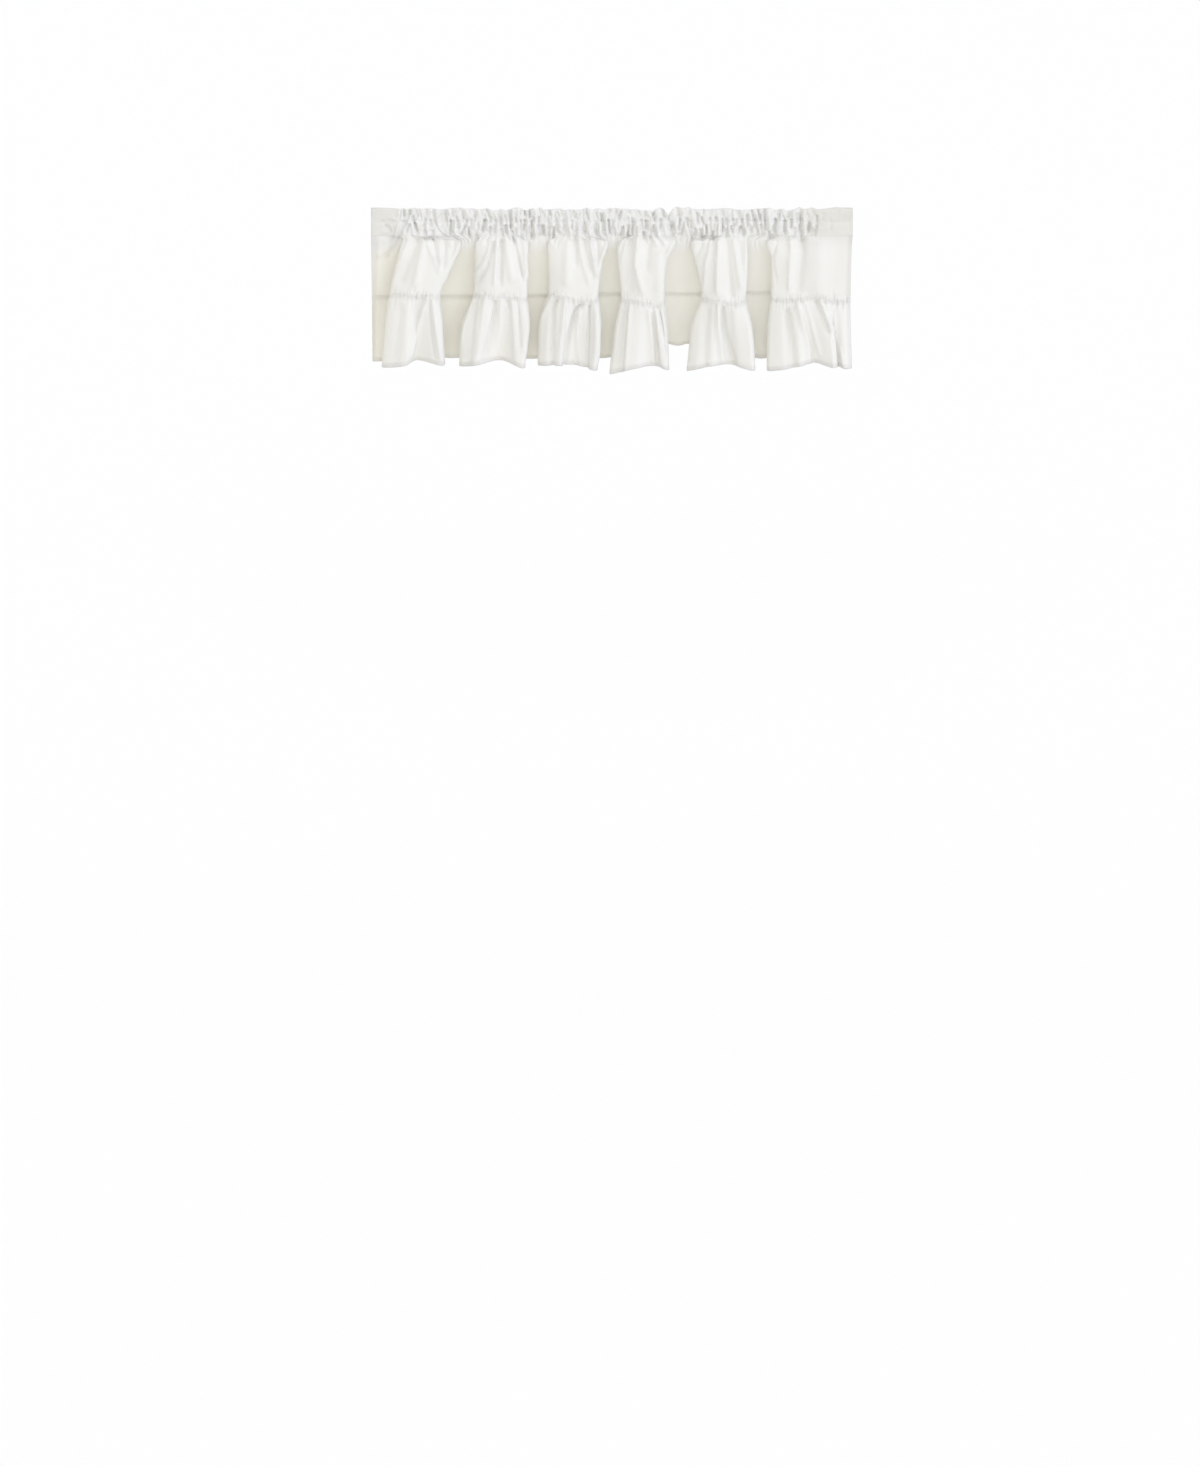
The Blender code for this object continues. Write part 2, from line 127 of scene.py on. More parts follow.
# The forward folds, left to right. "left" and "right" are the x of a fold's sides at the five levels below
# the pocket. "forward" scales how far it stands out. "shoulder" is where its broad left side ends and its
# front begins, and "trough" where the ruffle's fold is drawn in, both as shares of its width. "drawn" is how
# far it is drawn in at the hem. "seam" and "hem" are how much higher than their usual heights those two lines
# hang, at the fold's left side, its shoulder, its trough and its right side.
FOLD_COLUMNS = ("left", "right", "forward", "shoulder", "trough", "drawn", "seam", "hem")
FOLD_ROWS = (
    ((-0.441, -0.450, -0.466, -0.475, -0.483), (-0.318, -0.332, -0.359, -0.354, -0.350),
     1.00, 0.38, 0.55, 0.024, (0.013, 0.013, 0.012, 0.010), (-0.006, 0.002, 0.009, 0.002)),
    ((-0.284, -0.287, -0.291, -0.316, -0.320), (-0.176, -0.175, -0.177, -0.172, -0.182),
     1.04, 0.26, 0.63, 0.026, (0.012, 0.012, 0.009, 0.008), (-0.003, 0.003, 0.009, -0.003)),
    ((-0.132, -0.133, -0.134, -0.153, -0.156), (-0.008, -0.020, -0.028, -0.022, -0.034),
     0.96, 0.30, 0.68, 0.022, (0.012, 0.010, 0.001, 0.003), (-0.002, 0.002, -0.001, -0.008)),
    ((0.016, 0.012, 0.018, 0.006, -0.005), (0.133, 0.115, 0.110, 0.116, 0.120),
     1.10, 0.44, 0.76, 0.016, (0.003, 0.000, -0.007, -0.003), (-0.019, -0.003, 0.000, -0.006)),
    ((0.171, 0.173, 0.187, 0.167, 0.157), (0.282, 0.281, 0.280, 0.294, 0.300),
     1.00, 0.34, 0.64, 0.020, (0.004, 0.002, -0.003, 0.000), (-0.012, 0.000, 0.001, -0.008)),
    ((0.325, 0.333, 0.332, 0.326, 0.325), (0.465, 0.465, 0.460, 0.463, 0.470),
     1.06, 0.46, 0.66, 0.026, (0.004, 0.005, 0.009, 0.002), (-0.013, -0.001, 0.004, -0.002)),
)
FOLDS = [dict(zip(FOLD_COLUMNS, row)) for row in FOLD_ROWS]

# The recess after each fold but the last: the lift of its seam and of its hem, and how deep it is against the
# others. The two ends of the cloth have such lifts too.
RECESS_COLUMNS = ("seam", "hem", "depth")
RECESS_ROWS = (
    (0.004, 0.005, 1.00),
    (0.006, 0.004, 0.90),
    (0.009, 0.005, 0.95),
    (0.008, 0.031, 1.15),
    (0.011, 0.004, 1.00),
)
RECESSES = [dict(zip(RECESS_COLUMNS, row)) for row in RECESS_ROWS]
LEFT_END_LIFT = (0.003, -0.002)
RIGHT_END_LIFT = (0.000, -0.006)

LEFT_EDGE = (0.05, 0.30)   # where a fold's left edge ends and its broad left side begins: shares of its width
                           # and of the way back to the recess
RIGHT_SHOULDER = 0.05      # where its front ends at the right, as a share of its width
CROWN = 0.004              # how far a fold that has not opened stands out in its middle
CORNER = 0.95              # depth of a recess's corners, as a share of the way back to its bottom
TUCK = 0.010               # how far those corners are hidden behind the folds beside them
LAST_TURN = 0.30           # how far the last fold's right side goes back towards the recess
END_TURN = (0.08, 0.25)    # the same for the flat right end, halfway along it and at its edge

FRONT_ENDS = 0.62          # a fold's front ends this share of the way back to the recess
FRONT_FADE = 0.5           # and its creases come in over this share of it
FRONT_STARTS = 0.012       # height below the pocket over which the fronts begin

# ---------------------------------------------------------------- the creases, in millimetres
# A crease runs through its points (x, down) and stands out of the cloth by "out", or is drawn in where that
# is below 0. Its half width goes from the first value at its head to the second at its foot.
CREASE_COLUMNS = ("points", "half_width", "out")
UPPER_CREASES = (
    # first fold, drawn in to the left
    (((-441, 20), (-458, 58), (-488, 97), (-498, 112)), (3, 4), 3),
    (((-431, 58), (-462, 92), (-486, 125)), (7, 9), -6),
    (((-402, 54), (-444, 167)), (7, 9), -5),
    (((-391, 61), (-412, 171)), (7, 8), 4),
    (((-425, 61), (-441, 108)), (3, 4), 2.5),
    (((-386, 71), (-360, 137)), (4, 4), 3),
    (((-375, 56), (-363, 126)), (3, 4), -3),
    (((-362, 54), (-357, 122)), (3, 3), 2.5),
    (((-349, 71), (-351, 129)), (5, 5), -4),
    (((-349, 56), (-335, 80)), (3, 3), 3),
    (((-319, 56), (-330, 110), (-351, 167)), (4, 5), 4),
    # second fold
    (((-244, 50), (-264, 110), (-288, 152)), (3.5, 4.5), 4),
    (((-248, 71), (-262, 129), (-283, 162)), (4, 5), -5),
    (((-239, 56), (-246, 167)), (3.5, 4), 4),
    (((-230, 56), (-234, 167)), (4, 5), -5),
    (((-223, 56), (-208, 156)), (7, 8), 4),
    (((-211, 50), (-203, 76), (-186, 152)), (3, 4), -3.5),
    (((-197, 90), (-187, 150)), (3, 3), -2),
    (((-186, 58), (-177, 152)), (3, 3.5), 3),
    # third fold
    (((-94, 54), (-94, 167)), (7, 10), 4),
    (((-77, 56), (-75, 118)), (4, 5), -4),
    (((-71, 58), (-60, 110), (-47, 156)), (4, 5), 3),
    (((-63, 58), (-45, 129)), (4, 6), -4),
    (((-47, 54), (-33, 143)), (3, 4), 5),
    (((-33, 56), (-28, 118)), (5, 7), -5),
    (((-7, 54), (-19, 95), (-31, 137)), (3, 4), 3),
    # fourth fold
    (((30, 66), (21, 110)), (3, 4), 3),
    (((40, 61), (35, 176)), (8, 10), -6),
    (((52, 54), (49, 118), (65, 174)), (5, 7), 5),
    (((75, 71), (72, 129)), (7, 9), -4),
    (((83, 56), (96, 78)), (3, 3), 3),
    (((98, 90), (98, 170)), (9, 10), 3),
    (((100, 56), (112, 78)), (3, 3), 3),
    (((133, 54), (113, 99)), (4, 4), 4),
    # fifth fold
    (((197, 54), (174, 110)), (3, 4), -3),
    (((207, 66), (197, 110), (192, 181)), (3, 4), 4),
    (((214, 56), (209, 176)), (5, 7), -4),
    (((224, 50), (220, 118), (220, 181)), (5, 6), 5),
    (((239, 58), (249, 181)), (6, 8), -5),
    (((254, 66), (270, 167)), (4, 5), 4),
    (((265, 58), (272, 118)), (4, 4), -2),
    (((279, 54), (279, 180)), (3, 4), 3),
    # sixth fold and the flat right end
    (((346, 64), (335, 110), (342, 156)), (3, 4), -3),
    (((375, 56), (371, 174)), (9, 4), 5),
    (((398, 54), (389, 176)), (8, 11), -6),
    (((433, 67), (433, 186)), (13, 17), 4),
    # light ridges in the recesses
    (((-306, 58), (-306, 78)), (3, 3), 2),
    (((303, 56), (303, 92)), (3, 3), 2),
)
RUFFLE_CREASES = (
    (((-386, 193), (-400, 238), (-423, 318)), (5, 7), 5),
    (((-381, 200), (-381, 262), (-372, 318)), (3, 4), -2),
    (((-377, 193), (-358, 318)), (4, 5), 3),
    (((-442, 214), (-456, 325)), (9, 12), -3),
    (((-290, 202), (-309, 250), (-316, 290)), (3, 4), 3),
    (((-288, 214), (-302, 325)), (5, 8), -4),
    (((-264, 197), (-284, 325)), (5, 8), 4),
    (((-244, 193), (-246, 229), (-266, 325)), (4, 6), -5),
    (((-233, 200), (-234, 250), (-244, 325)), (5, 8), 4),
    (((-221, 193), (-213, 216)), (3, 3), -3),
    (((-208, 202), (-199, 325)), (5, 8), 3),
    (((-197, 205), (-192, 290)), (3, 4), -2),
    (((-124, 195), (-150, 241)), (2.5, 3.5), 3),
    (((-115, 202), (-124, 214), (-127, 340)), (4, 8), -6),
    (((-98, 197), (-108, 286), (-111, 340)), (4, 7), 6),
    (((-61, 199), (-77, 214), (-89, 262), (-99, 340)), (3, 5), -6),
    (((-68, 214), (-73, 262), (-66, 340)), (4, 9), 5),
    (((-48, 197), (-49, 238), (-56, 340)), (2.5, 5), -5),
    (((-33, 202), (-31, 340)), (5, 8), 4),
    (((14, 205), (2, 262)), (2.5, 4), 2),
    (((28, 205), (13, 345)), (6, 11), -6),
    (((37, 208), (26, 345)), (4, 6), 3),
    (((77, 205), (90, 345)), (5, 7), 3),
    (((84, 214), (97, 325)), (3, 4), -2),
    (((93, 205), (108, 325)), (4, 5), 4),
    (((98, 205), (115, 290)), (2.5, 4), -4),
    (((197, 205), (192, 345)), (8, 11), -5),
    (((222, 197), (222, 250), (231, 325)), (4.5, 6), 6),
    (((233, 202), (235, 250), (249, 298), (257, 325)), (4, 6), -7),
    (((256, 205), (270, 340)), (10, 14), 4),
    (((366, 214), (380, 345)), (6, 15), -9),
    (((389, 202), (405, 274), (417, 340)), (4, 6), 6),
    (((403, 197), (436, 310)), (4, 5), 3),
    (((422, 191), (454, 258)), (4, 6), -4),
    (((435, 195), (464, 262), (469, 345)), (3.5, 5), 5),
    (((466, 227), (468, 286)), (3, 3), 2),
    (((478, 286), (486, 325)), (3, 3), 2),
)
# The gathers that stand out or lie deepest in the heading, some of them running on into the upper cloth. Each
# has one half width.
GATHER_COLUMNS = ("points", "half_width", "out")
GATHER_CREASES = (
    (((-477, 26), (-462, 21), (-448, 27)), 2.3, 2.5), (((-475, 36), (-462, 47)), 4.6, -4),
    (((-446, 0), (-446, 15)), 2.9, 2), (((-441, 21), (-452, 51), (-464, 79), (-491, 106)), 3.1, 3),
    (((-436, 0), (-433, 19)), 3.3, -3), (((-434, 27), (-443, 57), (-453, 83), (-471, 108)), 5.2, -6),
    (((-431, 0), (-423, 19)), 2.5, 2.5), (((-424, 0), (-422, 13)), 3.1, -4),
    (((-424, 34), (-431, 51)), 3.3, -6), (((-417, 15), (-412, 34)), 2.7, -5),
    (((-414, 2), (-423, 23), (-434, 51)), 2.7, 3), (((-412, 32), (-407, 50)), 3.1, -9),
    (((-410, 4), (-406, 21)), 5, -4), (((-398, 8), (-410, 30)), 2.5, 2.5),
    (((-391, 44), (-391, 68)), 3.1, -5), (((-390, 21), (-393, 40)), 2.9, -4),
    (((-389, 0), (-388, 17)), 3.3, -4), (((-380, 25), (-378, 38)), 3.1, -5),
    (((-378, 2), (-383, 23), (-389, 47)), 2.9, 3), (((-376, 47), (-375, 68)), 3.7, -5),
    (((-375, 0), (-371, 27), (-360, 47), (-350, 57)), 2.5, -4), (((-354, 10), (-356, 40)), 6.2, -2.5),
    (((-352, 4), (-365, 25), (-363, 40), (-350, 56)), 2.3, 3), (((-349, 4), (-344, 40)), 3.1, -4),
    (((-340, 6), (-342, 36), (-345, 62)), 2.7, 3), (((-337, 27), (-337, 53)), 3.5, -9),
    (((-335, 0), (-333, 19)), 3.3, -4), (((-327, 25), (-330, 47), (-320, 68)), 2.7, 3),
    (((-324, 19), (-321, 42)), 2.9, -6), (((-323, 2), (-321, 25)), 3.1, 3),
    (((-314, 4), (-310, 25)), 3.3, -4), (((-306, 2), (-296, 23)), 2.9, 3),
    (((-303, 25), (-308, 42), (-315, 55)), 2.7, -6), (((-301, 40), (-297, 64)), 2.9, -6),
    (((-296, 21), (-294, 44)), 2.9, -4), (((-289, 2), (-287, 19)), 4.2, -3),
    (((-285, 47), (-282, 68)), 3.7, -5), (((-281, 30), (-279, 47)), 2.9, -4),
    (((-277, 6), (-285, 34), (-286, 51)), 2.9, 3), (((-266, 6), (-258, 25), (-261, 47)), 2.7, 3),
    (((-265, 25), (-271, 49)), 3.3, -9), (((-262, 4), (-256, 21)), 3.3, -5),
    (((-254, 40), (-257, 53)), 3.3, -6), (((-252, 19), (-255, 32)), 2.9, -4),
    (((-246, 6), (-237, 27), (-240, 49)), 2.5, 3), (((-242, 25), (-245, 51)), 2.7, -5),
    (((-236, 2), (-233, 15)), 3.1, -3), (((-233, 17), (-233, 36)), 2.7, -5),
    (((-231, 42), (-229, 57)), 3.5, -7), (((-227, 6), (-226, 36)), 2.7, 3),
    (((-222, 36), (-220, 55)), 3.5, -7), (((-218, 6), (-217, 44), (-212, 66)), 2.5, 3),
    (((-213, 2), (-211, 42)), 2.9, -6), (((-209, 47), (-204, 72)), 2.9, -7),
    (((-207, 4), (-205, 40)), 2.7, 3), (((-202, 21), (-201, 32)), 2.7, -4),
    (((-200, 42), (-200, 57)), 2.9, -4), (((-195, 4), (-196, 57)), 2.7, 3),
    (((-192, 25), (-189, 62)), 2.7, -5), (((-183, 2), (-181, 13)), 3.1, -4),
    (((-182, 25), (-184, 51)), 3.3, -6), (((-179, 42), (-181, 66)), 2.9, -4),
    (((-177, 2), (-175, 40)), 2.5, 3), (((-172, 0), (-173, 21)), 3.1, -7),
    (((-168, 27), (-167, 66)), 3.3, -8), (((-164, 19), (-163, 32)), 2.7, -4),
    (((-159, 2), (-161, 32), (-160, 62)), 2.7, 3), (((-153, 19), (-155, 42)), 2.7, -5),
    (((-150, 36), (-148, 55)), 6.2, -5), (((-148, 0), (-146, 13)), 2.9, -4),
    (((-144, 38), (-143, 57)), 3.1, -7), (((-139, 6), (-137, 27), (-138, 57)), 2.7, 3),
    (((-137, 19), (-131, 36), (-128, 44)), 2.5, -4), (((-133, 40), (-132, 62)), 2.9, -5),
    (((-131, 2), (-129, 15)), 2.9, -6), (((-125, 6), (-124, 40)), 2.5, 2.5),
    (((-122, 40), (-123, 64)), 2.9, -7), (((-117, 21), (-115, 47)), 2.9, -4),
    (((-115, 49), (-104, 57)), 4.6, -6), (((-110, 19), (-107, 40)), 3.1, 3),
    (((-108, 0), (-106, 15)), 4.2, -4), (((-101, 25), (-97, 53)), 4.6, -5),
    (((-95, 2), (-90, 27), (-85, 66)), 3.3, 4), (((-90, 2), (-91, 10)), 3.1, -3),
    (((-84, 27), (-84, 44)), 3.1, -4), (((-81, 2), (-79, 23)), 4.2, -3.5),
    (((-76, 30), (-75, 57)), 3.3, -5), (((-72, 6), (-69, 32), (-71, 66)), 2.7, 3),
    (((-69, 23), (-67, 42)), 2.9, -3), (((-58, 30), (-56, 55)), 3.7, -9),
    (((-56, 2), (-54, 15)), 4.2, -3), (((-47, 4), (-45, 36), (-48, 70)), 2.9, 3),
    (((-34, 30), (-33, 53)), 4.6, -7), (((-28, 6), (-26, 36), (-23, 66)), 2.9, 3),
    (((-23, 10), (-22, 30)), 3.3, -6), (((-18, 27), (-18, 51)), 3.1, -6),
    (((-12, 6), (-12, 36), (-10, 66)), 2.5, 2.5), (((-8, 0), (-7, 8)), 3.1, -4),
    (((-8, 25), (-4, 53)), 2.7, -9), (((1, 27), (1, 44)), 2.9, -5), (((6, 32), (12, 53)), 2.5, 3),
    (((8, 2), (12, 19)), 3.1, -4), (((19, 6), (12, 23)), 2.9, -4), (((22, 40), (17, 62)), 3.1, -7),
    (((26, 2), (21, 23)), 2.7, 2.5), (((33, 10), (39, 27), (29, 53), (19, 76)), 2.5, 3),
    (((35, 36), (32, 62)), 3.3, -9), (((41, 21), (42, 32)), 2.9, -5), (((45, 30), (42, 57)), 2.9, -6),
    (((51, 6), (52, 19)), 4.2, -3), (((52, 40), (50, 57)), 2.7, -4),
    (((53, 27), (55, 57), (55, 87)), 3.7, 4), (((60, 25), (65, 44)), 2.9, -5),
    (((65, 51), (71, 70)), 3.7, -7), (((69, 2), (71, 17)), 3.3, -4), (((71, 27), (71, 44)), 3.7, -9),
    (((77, 6), (84, 23), (77, 49), (70, 66)), 2.5, 3), (((82, 44), (78, 66)), 2.9, -5),
    (((85, 6), (88, 27)), 3.3, -5), (((85, 36), (91, 59)), 3.5, -6),
    (((96, 6), (96, 32), (97, 57)), 3.7, 4), (((101, 23), (101, 44)), 2.9, -5),
    (((106, 2), (109, 21)), 4.6, -5), (((108, 23), (112, 49), (115, 76)), 4.6, 3),
    (((118, 25), (125, 42)), 3.1, -5), (((123, 47), (129, 66)), 3.3, -5), (((126, 6), (119, 21)), 2.5, 3),
    (((126, 30), (126, 47)), 4.2, -9), (((133, 27), (135, 49)), 2.9, 4), (((134, 0), (139, 19)), 5, -5),
    (((142, 53), (141, 70)), 3.3, -4), (((143, 23), (139, 47)), 2.7, -7), (((150, 6), (144, 36)), 2.7, 3),
    (((150, 30), (146, 53)), 2.9, -7), (((156, 21), (158, 42)), 3.3, -6),
    (((156, 40), (160, 66), (159, 87)), 3.3, 3), (((162, 0), (161, 13)), 2.9, -3),
    (((163, 27), (166, 44)), 2.9, -6), (((166, 49), (166, 70)), 3.1, -5),
    (((167, 6), (171, 27), (175, 40)), 2.7, 3), (((175, 44), (173, 59)), 3.1, -6),
    (((177, 36), (181, 53), (169, 74)), 2.5, 3), (((178, 8), (179, 32)), 2.9, -5),
    (((185, 44), (188, 66)), 3.1, -7), (((186, 19), (192, 36)), 2.7, -7),
    (((197, 36), (198, 57)), 2.7, -6), (((202, 51), (189, 74)), 2.7, 3),
    (((204, 21), (206, 49)), 2.7, -4), (((210, 49), (211, 66)), 3.7, -7),
    (((217, 19), (218, 27)), 2.9, -5), (((220, 2), (223, 23), (223, 57)), 3.7, 4),
    (((225, 2), (227, 21)), 6.2, -3.5), (((230, 23), (232, 51)), 2.7, -6),
    (((238, 44), (238, 59)), 3.3, -6), (((239, 23), (238, 36)), 2.9, -5), (((244, 6), (246, 27)), 2.7, 3),
    (((244, 40), (250, 57)), 2.7, 3), (((248, 38), (250, 51)), 3.1, -8),
    (((253, 23), (252, 40)), 2.9, -7), (((260, 2), (266, 21)), 4.6, -4.5),
    (((260, 23), (257, 38)), 2.7, -4), (((268, 40), (266, 51)), 3.3, -8),
    (((272, 23), (270, 44)), 2.9, -6), (((275, 44), (274, 59)), 4, -9),
    (((277, 2), (275, 27), (281, 49)), 2.9, 3), (((282, 13), (284, 40)), 2.9, -5),
    (((289, 6), (290, 27)), 2.7, 2.5), (((289, 38), (290, 51)), 4.2, -6),
    (((291, 2), (296, 21)), 3.1, -4), (((298, 23), (299, 42)), 4, -8), (((302, 10), (306, 36)), 2.5, 3),
    (((304, 44), (306, 57)), 2.9, -6), (((305, 2), (310, 27)), 2.9, -5),
    (((311, 34), (313, 55)), 2.9, -6), (((314, 10), (316, 40)), 2.5, 2.5),
    (((318, 0), (319, 23), (321, 47)), 2.9, -7), (((326, 2), (329, 27), (332, 49)), 3.3, 3.5),
    (((329, 49), (330, 66)), 3.5, -6), (((335, 57), (341, 66)), 3.1, -3),
    (((336, 6), (335, 36)), 2.9, 2.5), (((342, 23), (339, 53)), 3.3, -9),
    (((348, 2), (350, 15)), 3.7, -4), (((354, 10), (352, 36), (348, 57)), 3.3, 3.5),
    (((361, 27), (361, 53)), 4, -9), (((366, 23), (367, 49)), 2.7, 3), (((369, 53), (373, 79)), 4.2, 3),
    (((371, 4), (369, 23)), 3.1, -4), (((375, 23), (374, 42)), 3.1, -6), (((381, 6), (379, 32)), 3.1, 3),
    (((382, 42), (381, 59)), 3.3, -4), (((384, 53), (385, 87)), 4.2, 3),
    (((385, 10), (387, 27)), 3.7, -4), (((392, 0), (392, 19)), 3.1, -5),
    (((395, 21), (392, 49)), 3.3, -9), (((396, 49), (395, 72)), 3.7, -6),
    (((401, 6), (402, 36), (402, 57)), 3.1, 3), (((412, 30), (410, 51)), 3.1, -8),
    (((416, 0), (421, 17)), 6.2, -2.5), (((418, 27), (418, 44)), 2.7, 2),
    (((418, 42), (416, 57)), 2.9, -3), (((428, 15), (428, 36), (423, 57)), 2.7, -5),
    (((441, 10), (437, 36)), 4.2, -1.5), (((456, 23), (456, 49)), 3.1, -1.5),
    (((479, -2), (477, 27)), 3.1, 1),
)
CREASE_FADE = 14 * MM      # length over which a crease starts and dies out
GATHER_FADE = 5 * MM       # the same for a gather
FOOT_FADE = 11 * MM        # the same for the foot of one that runs down to the upper cloth
GATHER_REACH = 50 * MM     # how far sideways from its head a gather can be felt
RUNS_DOWN = 48 * MM        # a gather that ends below this runs down to the upper cloth

# ---------------------------------------------------------------- gathers, random but fixed by their seed
PLEATS = 84                # small gathers along the rod, between those of the table
PLEATS_START = 0.05        # length at the left over which they deepen
PLEATS_END = 0.07          # the same at the right
PUCKERS = 230              # tiny hollows along the gathered seam

# ---------------------------------------------------------------- the top edge
# The header's top edge, in millimetres: (x, height) along it.
TOP_EDGE = (
    (-502, 0.4), (-483, 0.4), (-458, -1.1), (-433, -2.3), (-421, -2.3), (-412, 0), (-400, -1.9),
    (-379, -1.1), (-360, -3.6), (-337, -1.1), (-316, 0.2), (-304, -2.3), (-289, -1.1), (-275, -4.5),
    (-262, 0.2), (-250, -5.3), (-239, -5.3), (-231, -1.7), (-222, -6.6), (-208, -1.1), (-198, 1.1),
    (-189, -1.5), (-182, -5.3), (-173, -4.5), (-167, -0.2), (-158, -3.2), (-150, 0.2), (-139, -4.3),
    (-131, -2.8), (-117, -1.9), (-108, -1.5), (-100, -5.3), (-87, -2.8), (-75, -4.5), (-62, -3.2),
    (-52, 1.1), (-42, -4.5), (-29, 0), (-17, -4.9), (-8, -1.5), (10, -0.6), (37, -3.2), (52, -3.8),
    (69, -5.3), (84, -6.6), (94, -2.1), (100, 1.1), (108, -2.3), (118, -14.7), (127, -1.9), (137, 2.1),
    (148, -1.1), (158, 1.5), (171, -3.2), (183, -3.2), (204, -2.8), (221, -1.7), (242, -0.6), (256, -3.2),
    (273, -4.5), (287, -3.8), (304, -1.7), (319, -1.7), (329, 0.4), (340, -5.7), (356, -1.1), (364, -6.6),
    (381, -3.2), (391, 1.1), (402, -3.2), (416, 0.4), (429, -3.2), (441, -2.6), (466, 1.1), (487, 0.6),
    (503, 0),
)

# ---------------------------------------------------------------- mesh densities
HEADING_COLUMNS = 860
UPPER_COLUMNS = 1200
RUFFLE_COLUMNS = 1200


# ---------------------------------------------------------------- the hanging cloth
def mix(a, b, t):
    return a + (b - a) * t


def ease(t):
    """Goes from 0 to 1 with a soft start and end."""
    t = np.clip(t, 0.0, 1.0)
    return t * t * (3.0 - 2.0 * t)


def smooth(knots, values, at):
    """Smooth curves through values[knot, place], read for each place at its own point along the knots."""
    knots = np.asarray(knots)
    at = np.clip(at, knots[0], knots[-1])
    i = np.clip(np.searchsorted(knots, at, side="right") - 1, 0, len(knots) - 2)
    place = np.arange(len(at))

    def value(k):
        return values[k, place]

    def slope(k):
        before, after = np.maximum(k - 1, 0), np.minimum(k + 1, len(knots) - 1)
        return (value(after) - value(before)) / (knots[after] - knots[before])[:, None]

    span = (knots[i + 1] - knots[i])[:, None]
    t = (at - knots[i])[:, None] / span
    start = (2 * t ** 3 - 3 * t ** 2 + 1) * value(i) + (t ** 3 - 2 * t ** 2 + t) * span * slope(i)
    finish = (3 * t ** 2 - 2 * t ** 3) * value(i + 1) + (t ** 3 - t ** 2) * span * slope(i + 1)
    return start + finish


def section_points(number):
    """The hanging cloth seen from above at one level: (x, y, lift) points, left to right."""
    level = LEVELS[number]
    side = max(number - 1, 0)
    recess = level["recess"]
    first_left = FOLDS[0]["left"][side]

    def set_back(share):
        return mix(level["front"], recess, share)

    def lift(seam, hem):
        return seam * level["seam_share"] + hem * level["hem_share"]

    def side_lift(beside, fold_lift):
        return mix(beside, fold_lift, mix(0.5, 1.0, level["hem_share"]))

    left_lift, right_lift = lift(*LEFT_END_LIFT), lift(*RIGHT_END_LIFT)
    end_y = set_back(level["left_end"])
    points = [
        (LEFT_END, end_y, left_lift),
        (mix(LEFT_END, first_left, 0.6), mix(end_y, recess, 0.8), left_lift),
    ]
    for fold, before, after in zip(FOLDS, [None] + RECESSES, RECESSES + [None]):
        left, right = fold["left"][side], fold["right"][side]
        width = right - left
        front = level["front"] * fold["forward"]
        tuck = TUCK * level["left_end"]
        lifts = [lift(seam, hem) for seam, hem in zip(fold["seam"], fold["hem"])]
        lift_before = lift(before["seam"], before["hem"]) if before else left_lift
        lift_after = lift(after["seam"], after["hem"]) if after else right_lift
        # A fold's middle stands out a little at first, and is drawn in as the ruffle opens.
        trough_y = front + fold["drawn"] * level["opening"] - CROWN * (1 - level["opening"])
        depth_before = before["depth"] if before else 1.0
        points.append((left + tuck, mix(front, recess * depth_before, CORNER), lift_before))
        points.append((left, mix(front, recess, 0.5), side_lift(lift_before, lifts[0])))
        points.append((left + LEFT_EDGE[0] * width, mix(front, recess, LEFT_EDGE[1]), lifts[0]))
        points.append((left + fold["shoulder"] * width, front, lifts[1]))
        points.append((left + fold["trough"] * width, trough_y, lifts[2]))
        points.append((right - RIGHT_SHOULDER * width, front, lifts[3]))
        if after:
            following = FOLDS[FOLDS.index(fold) + 1]["left"][side]
            points.append((right, mix(front, recess, 0.5), side_lift(lift_after, lifts[3])))
            points.append((right - tuck, mix(front, recess * after["depth"], CORNER), lift_after))
            points.append((mix(right, following, 0.5), recess * after["depth"], lift_after))
    last_right = FOLDS[-1]["right"][side]
    right_end = RIGHT_END - level["waist"]
    turned = mix(0.3, 1.0, level["opening"])
    points.append((last_right, set_back(LAST_TURN * level["opening"]), lifts[3]))
    points.append((mix(last_right, right_end, 0.55), set_back(END_TURN[0] * turned), right_lift))
    points.append((right_end, set_back(END_TURN[1] * turned), right_lift))
    return points


SECTIONS = np.array([section_points(number) for number in range(len(LEVELS))])
STEPS = np.diff(SECTIONS[SEAM_LEVEL][:, :2], axis=0)
KNOTS = np.concatenate([[0.0], np.cumsum(np.hypot(STEPS[:, 0], STEPS[:, 1]))])
CLOTH_WIDTH = KNOTS[-1]


def x_on_rod(along):
    """On the rod the two ends lie flat and all the cloth between them is gathered evenly."""
    knots = (0.0, FLAT_LEFT, CLOTH_WIDTH - FLAT_RIGHT, CLOTH_WIDTH)
    places = (LEFT_END, LEFT_END + FLAT_LEFT, RIGHT_END - FLAT_RIGHT, RIGHT_END)
    return np.interp(along, knots, places)


# At the pocket the folds have not opened yet, so their points lie where the gathering puts them.
SECTIONS[0, :, 0] = x_on_rod(KNOTS)


def hang(along, down):
    """Where the cloth hangs: arrays of x, y, and how much higher than "down" it lies."""
    levels = np.array([
        smooth(KNOTS, np.broadcast_to(section[:, None, :], (len(KNOTS), len(along), 3)), along)
        for section in SECTIONS
    ])
    return smooth(LEVEL_DOWNS, levels, down).T


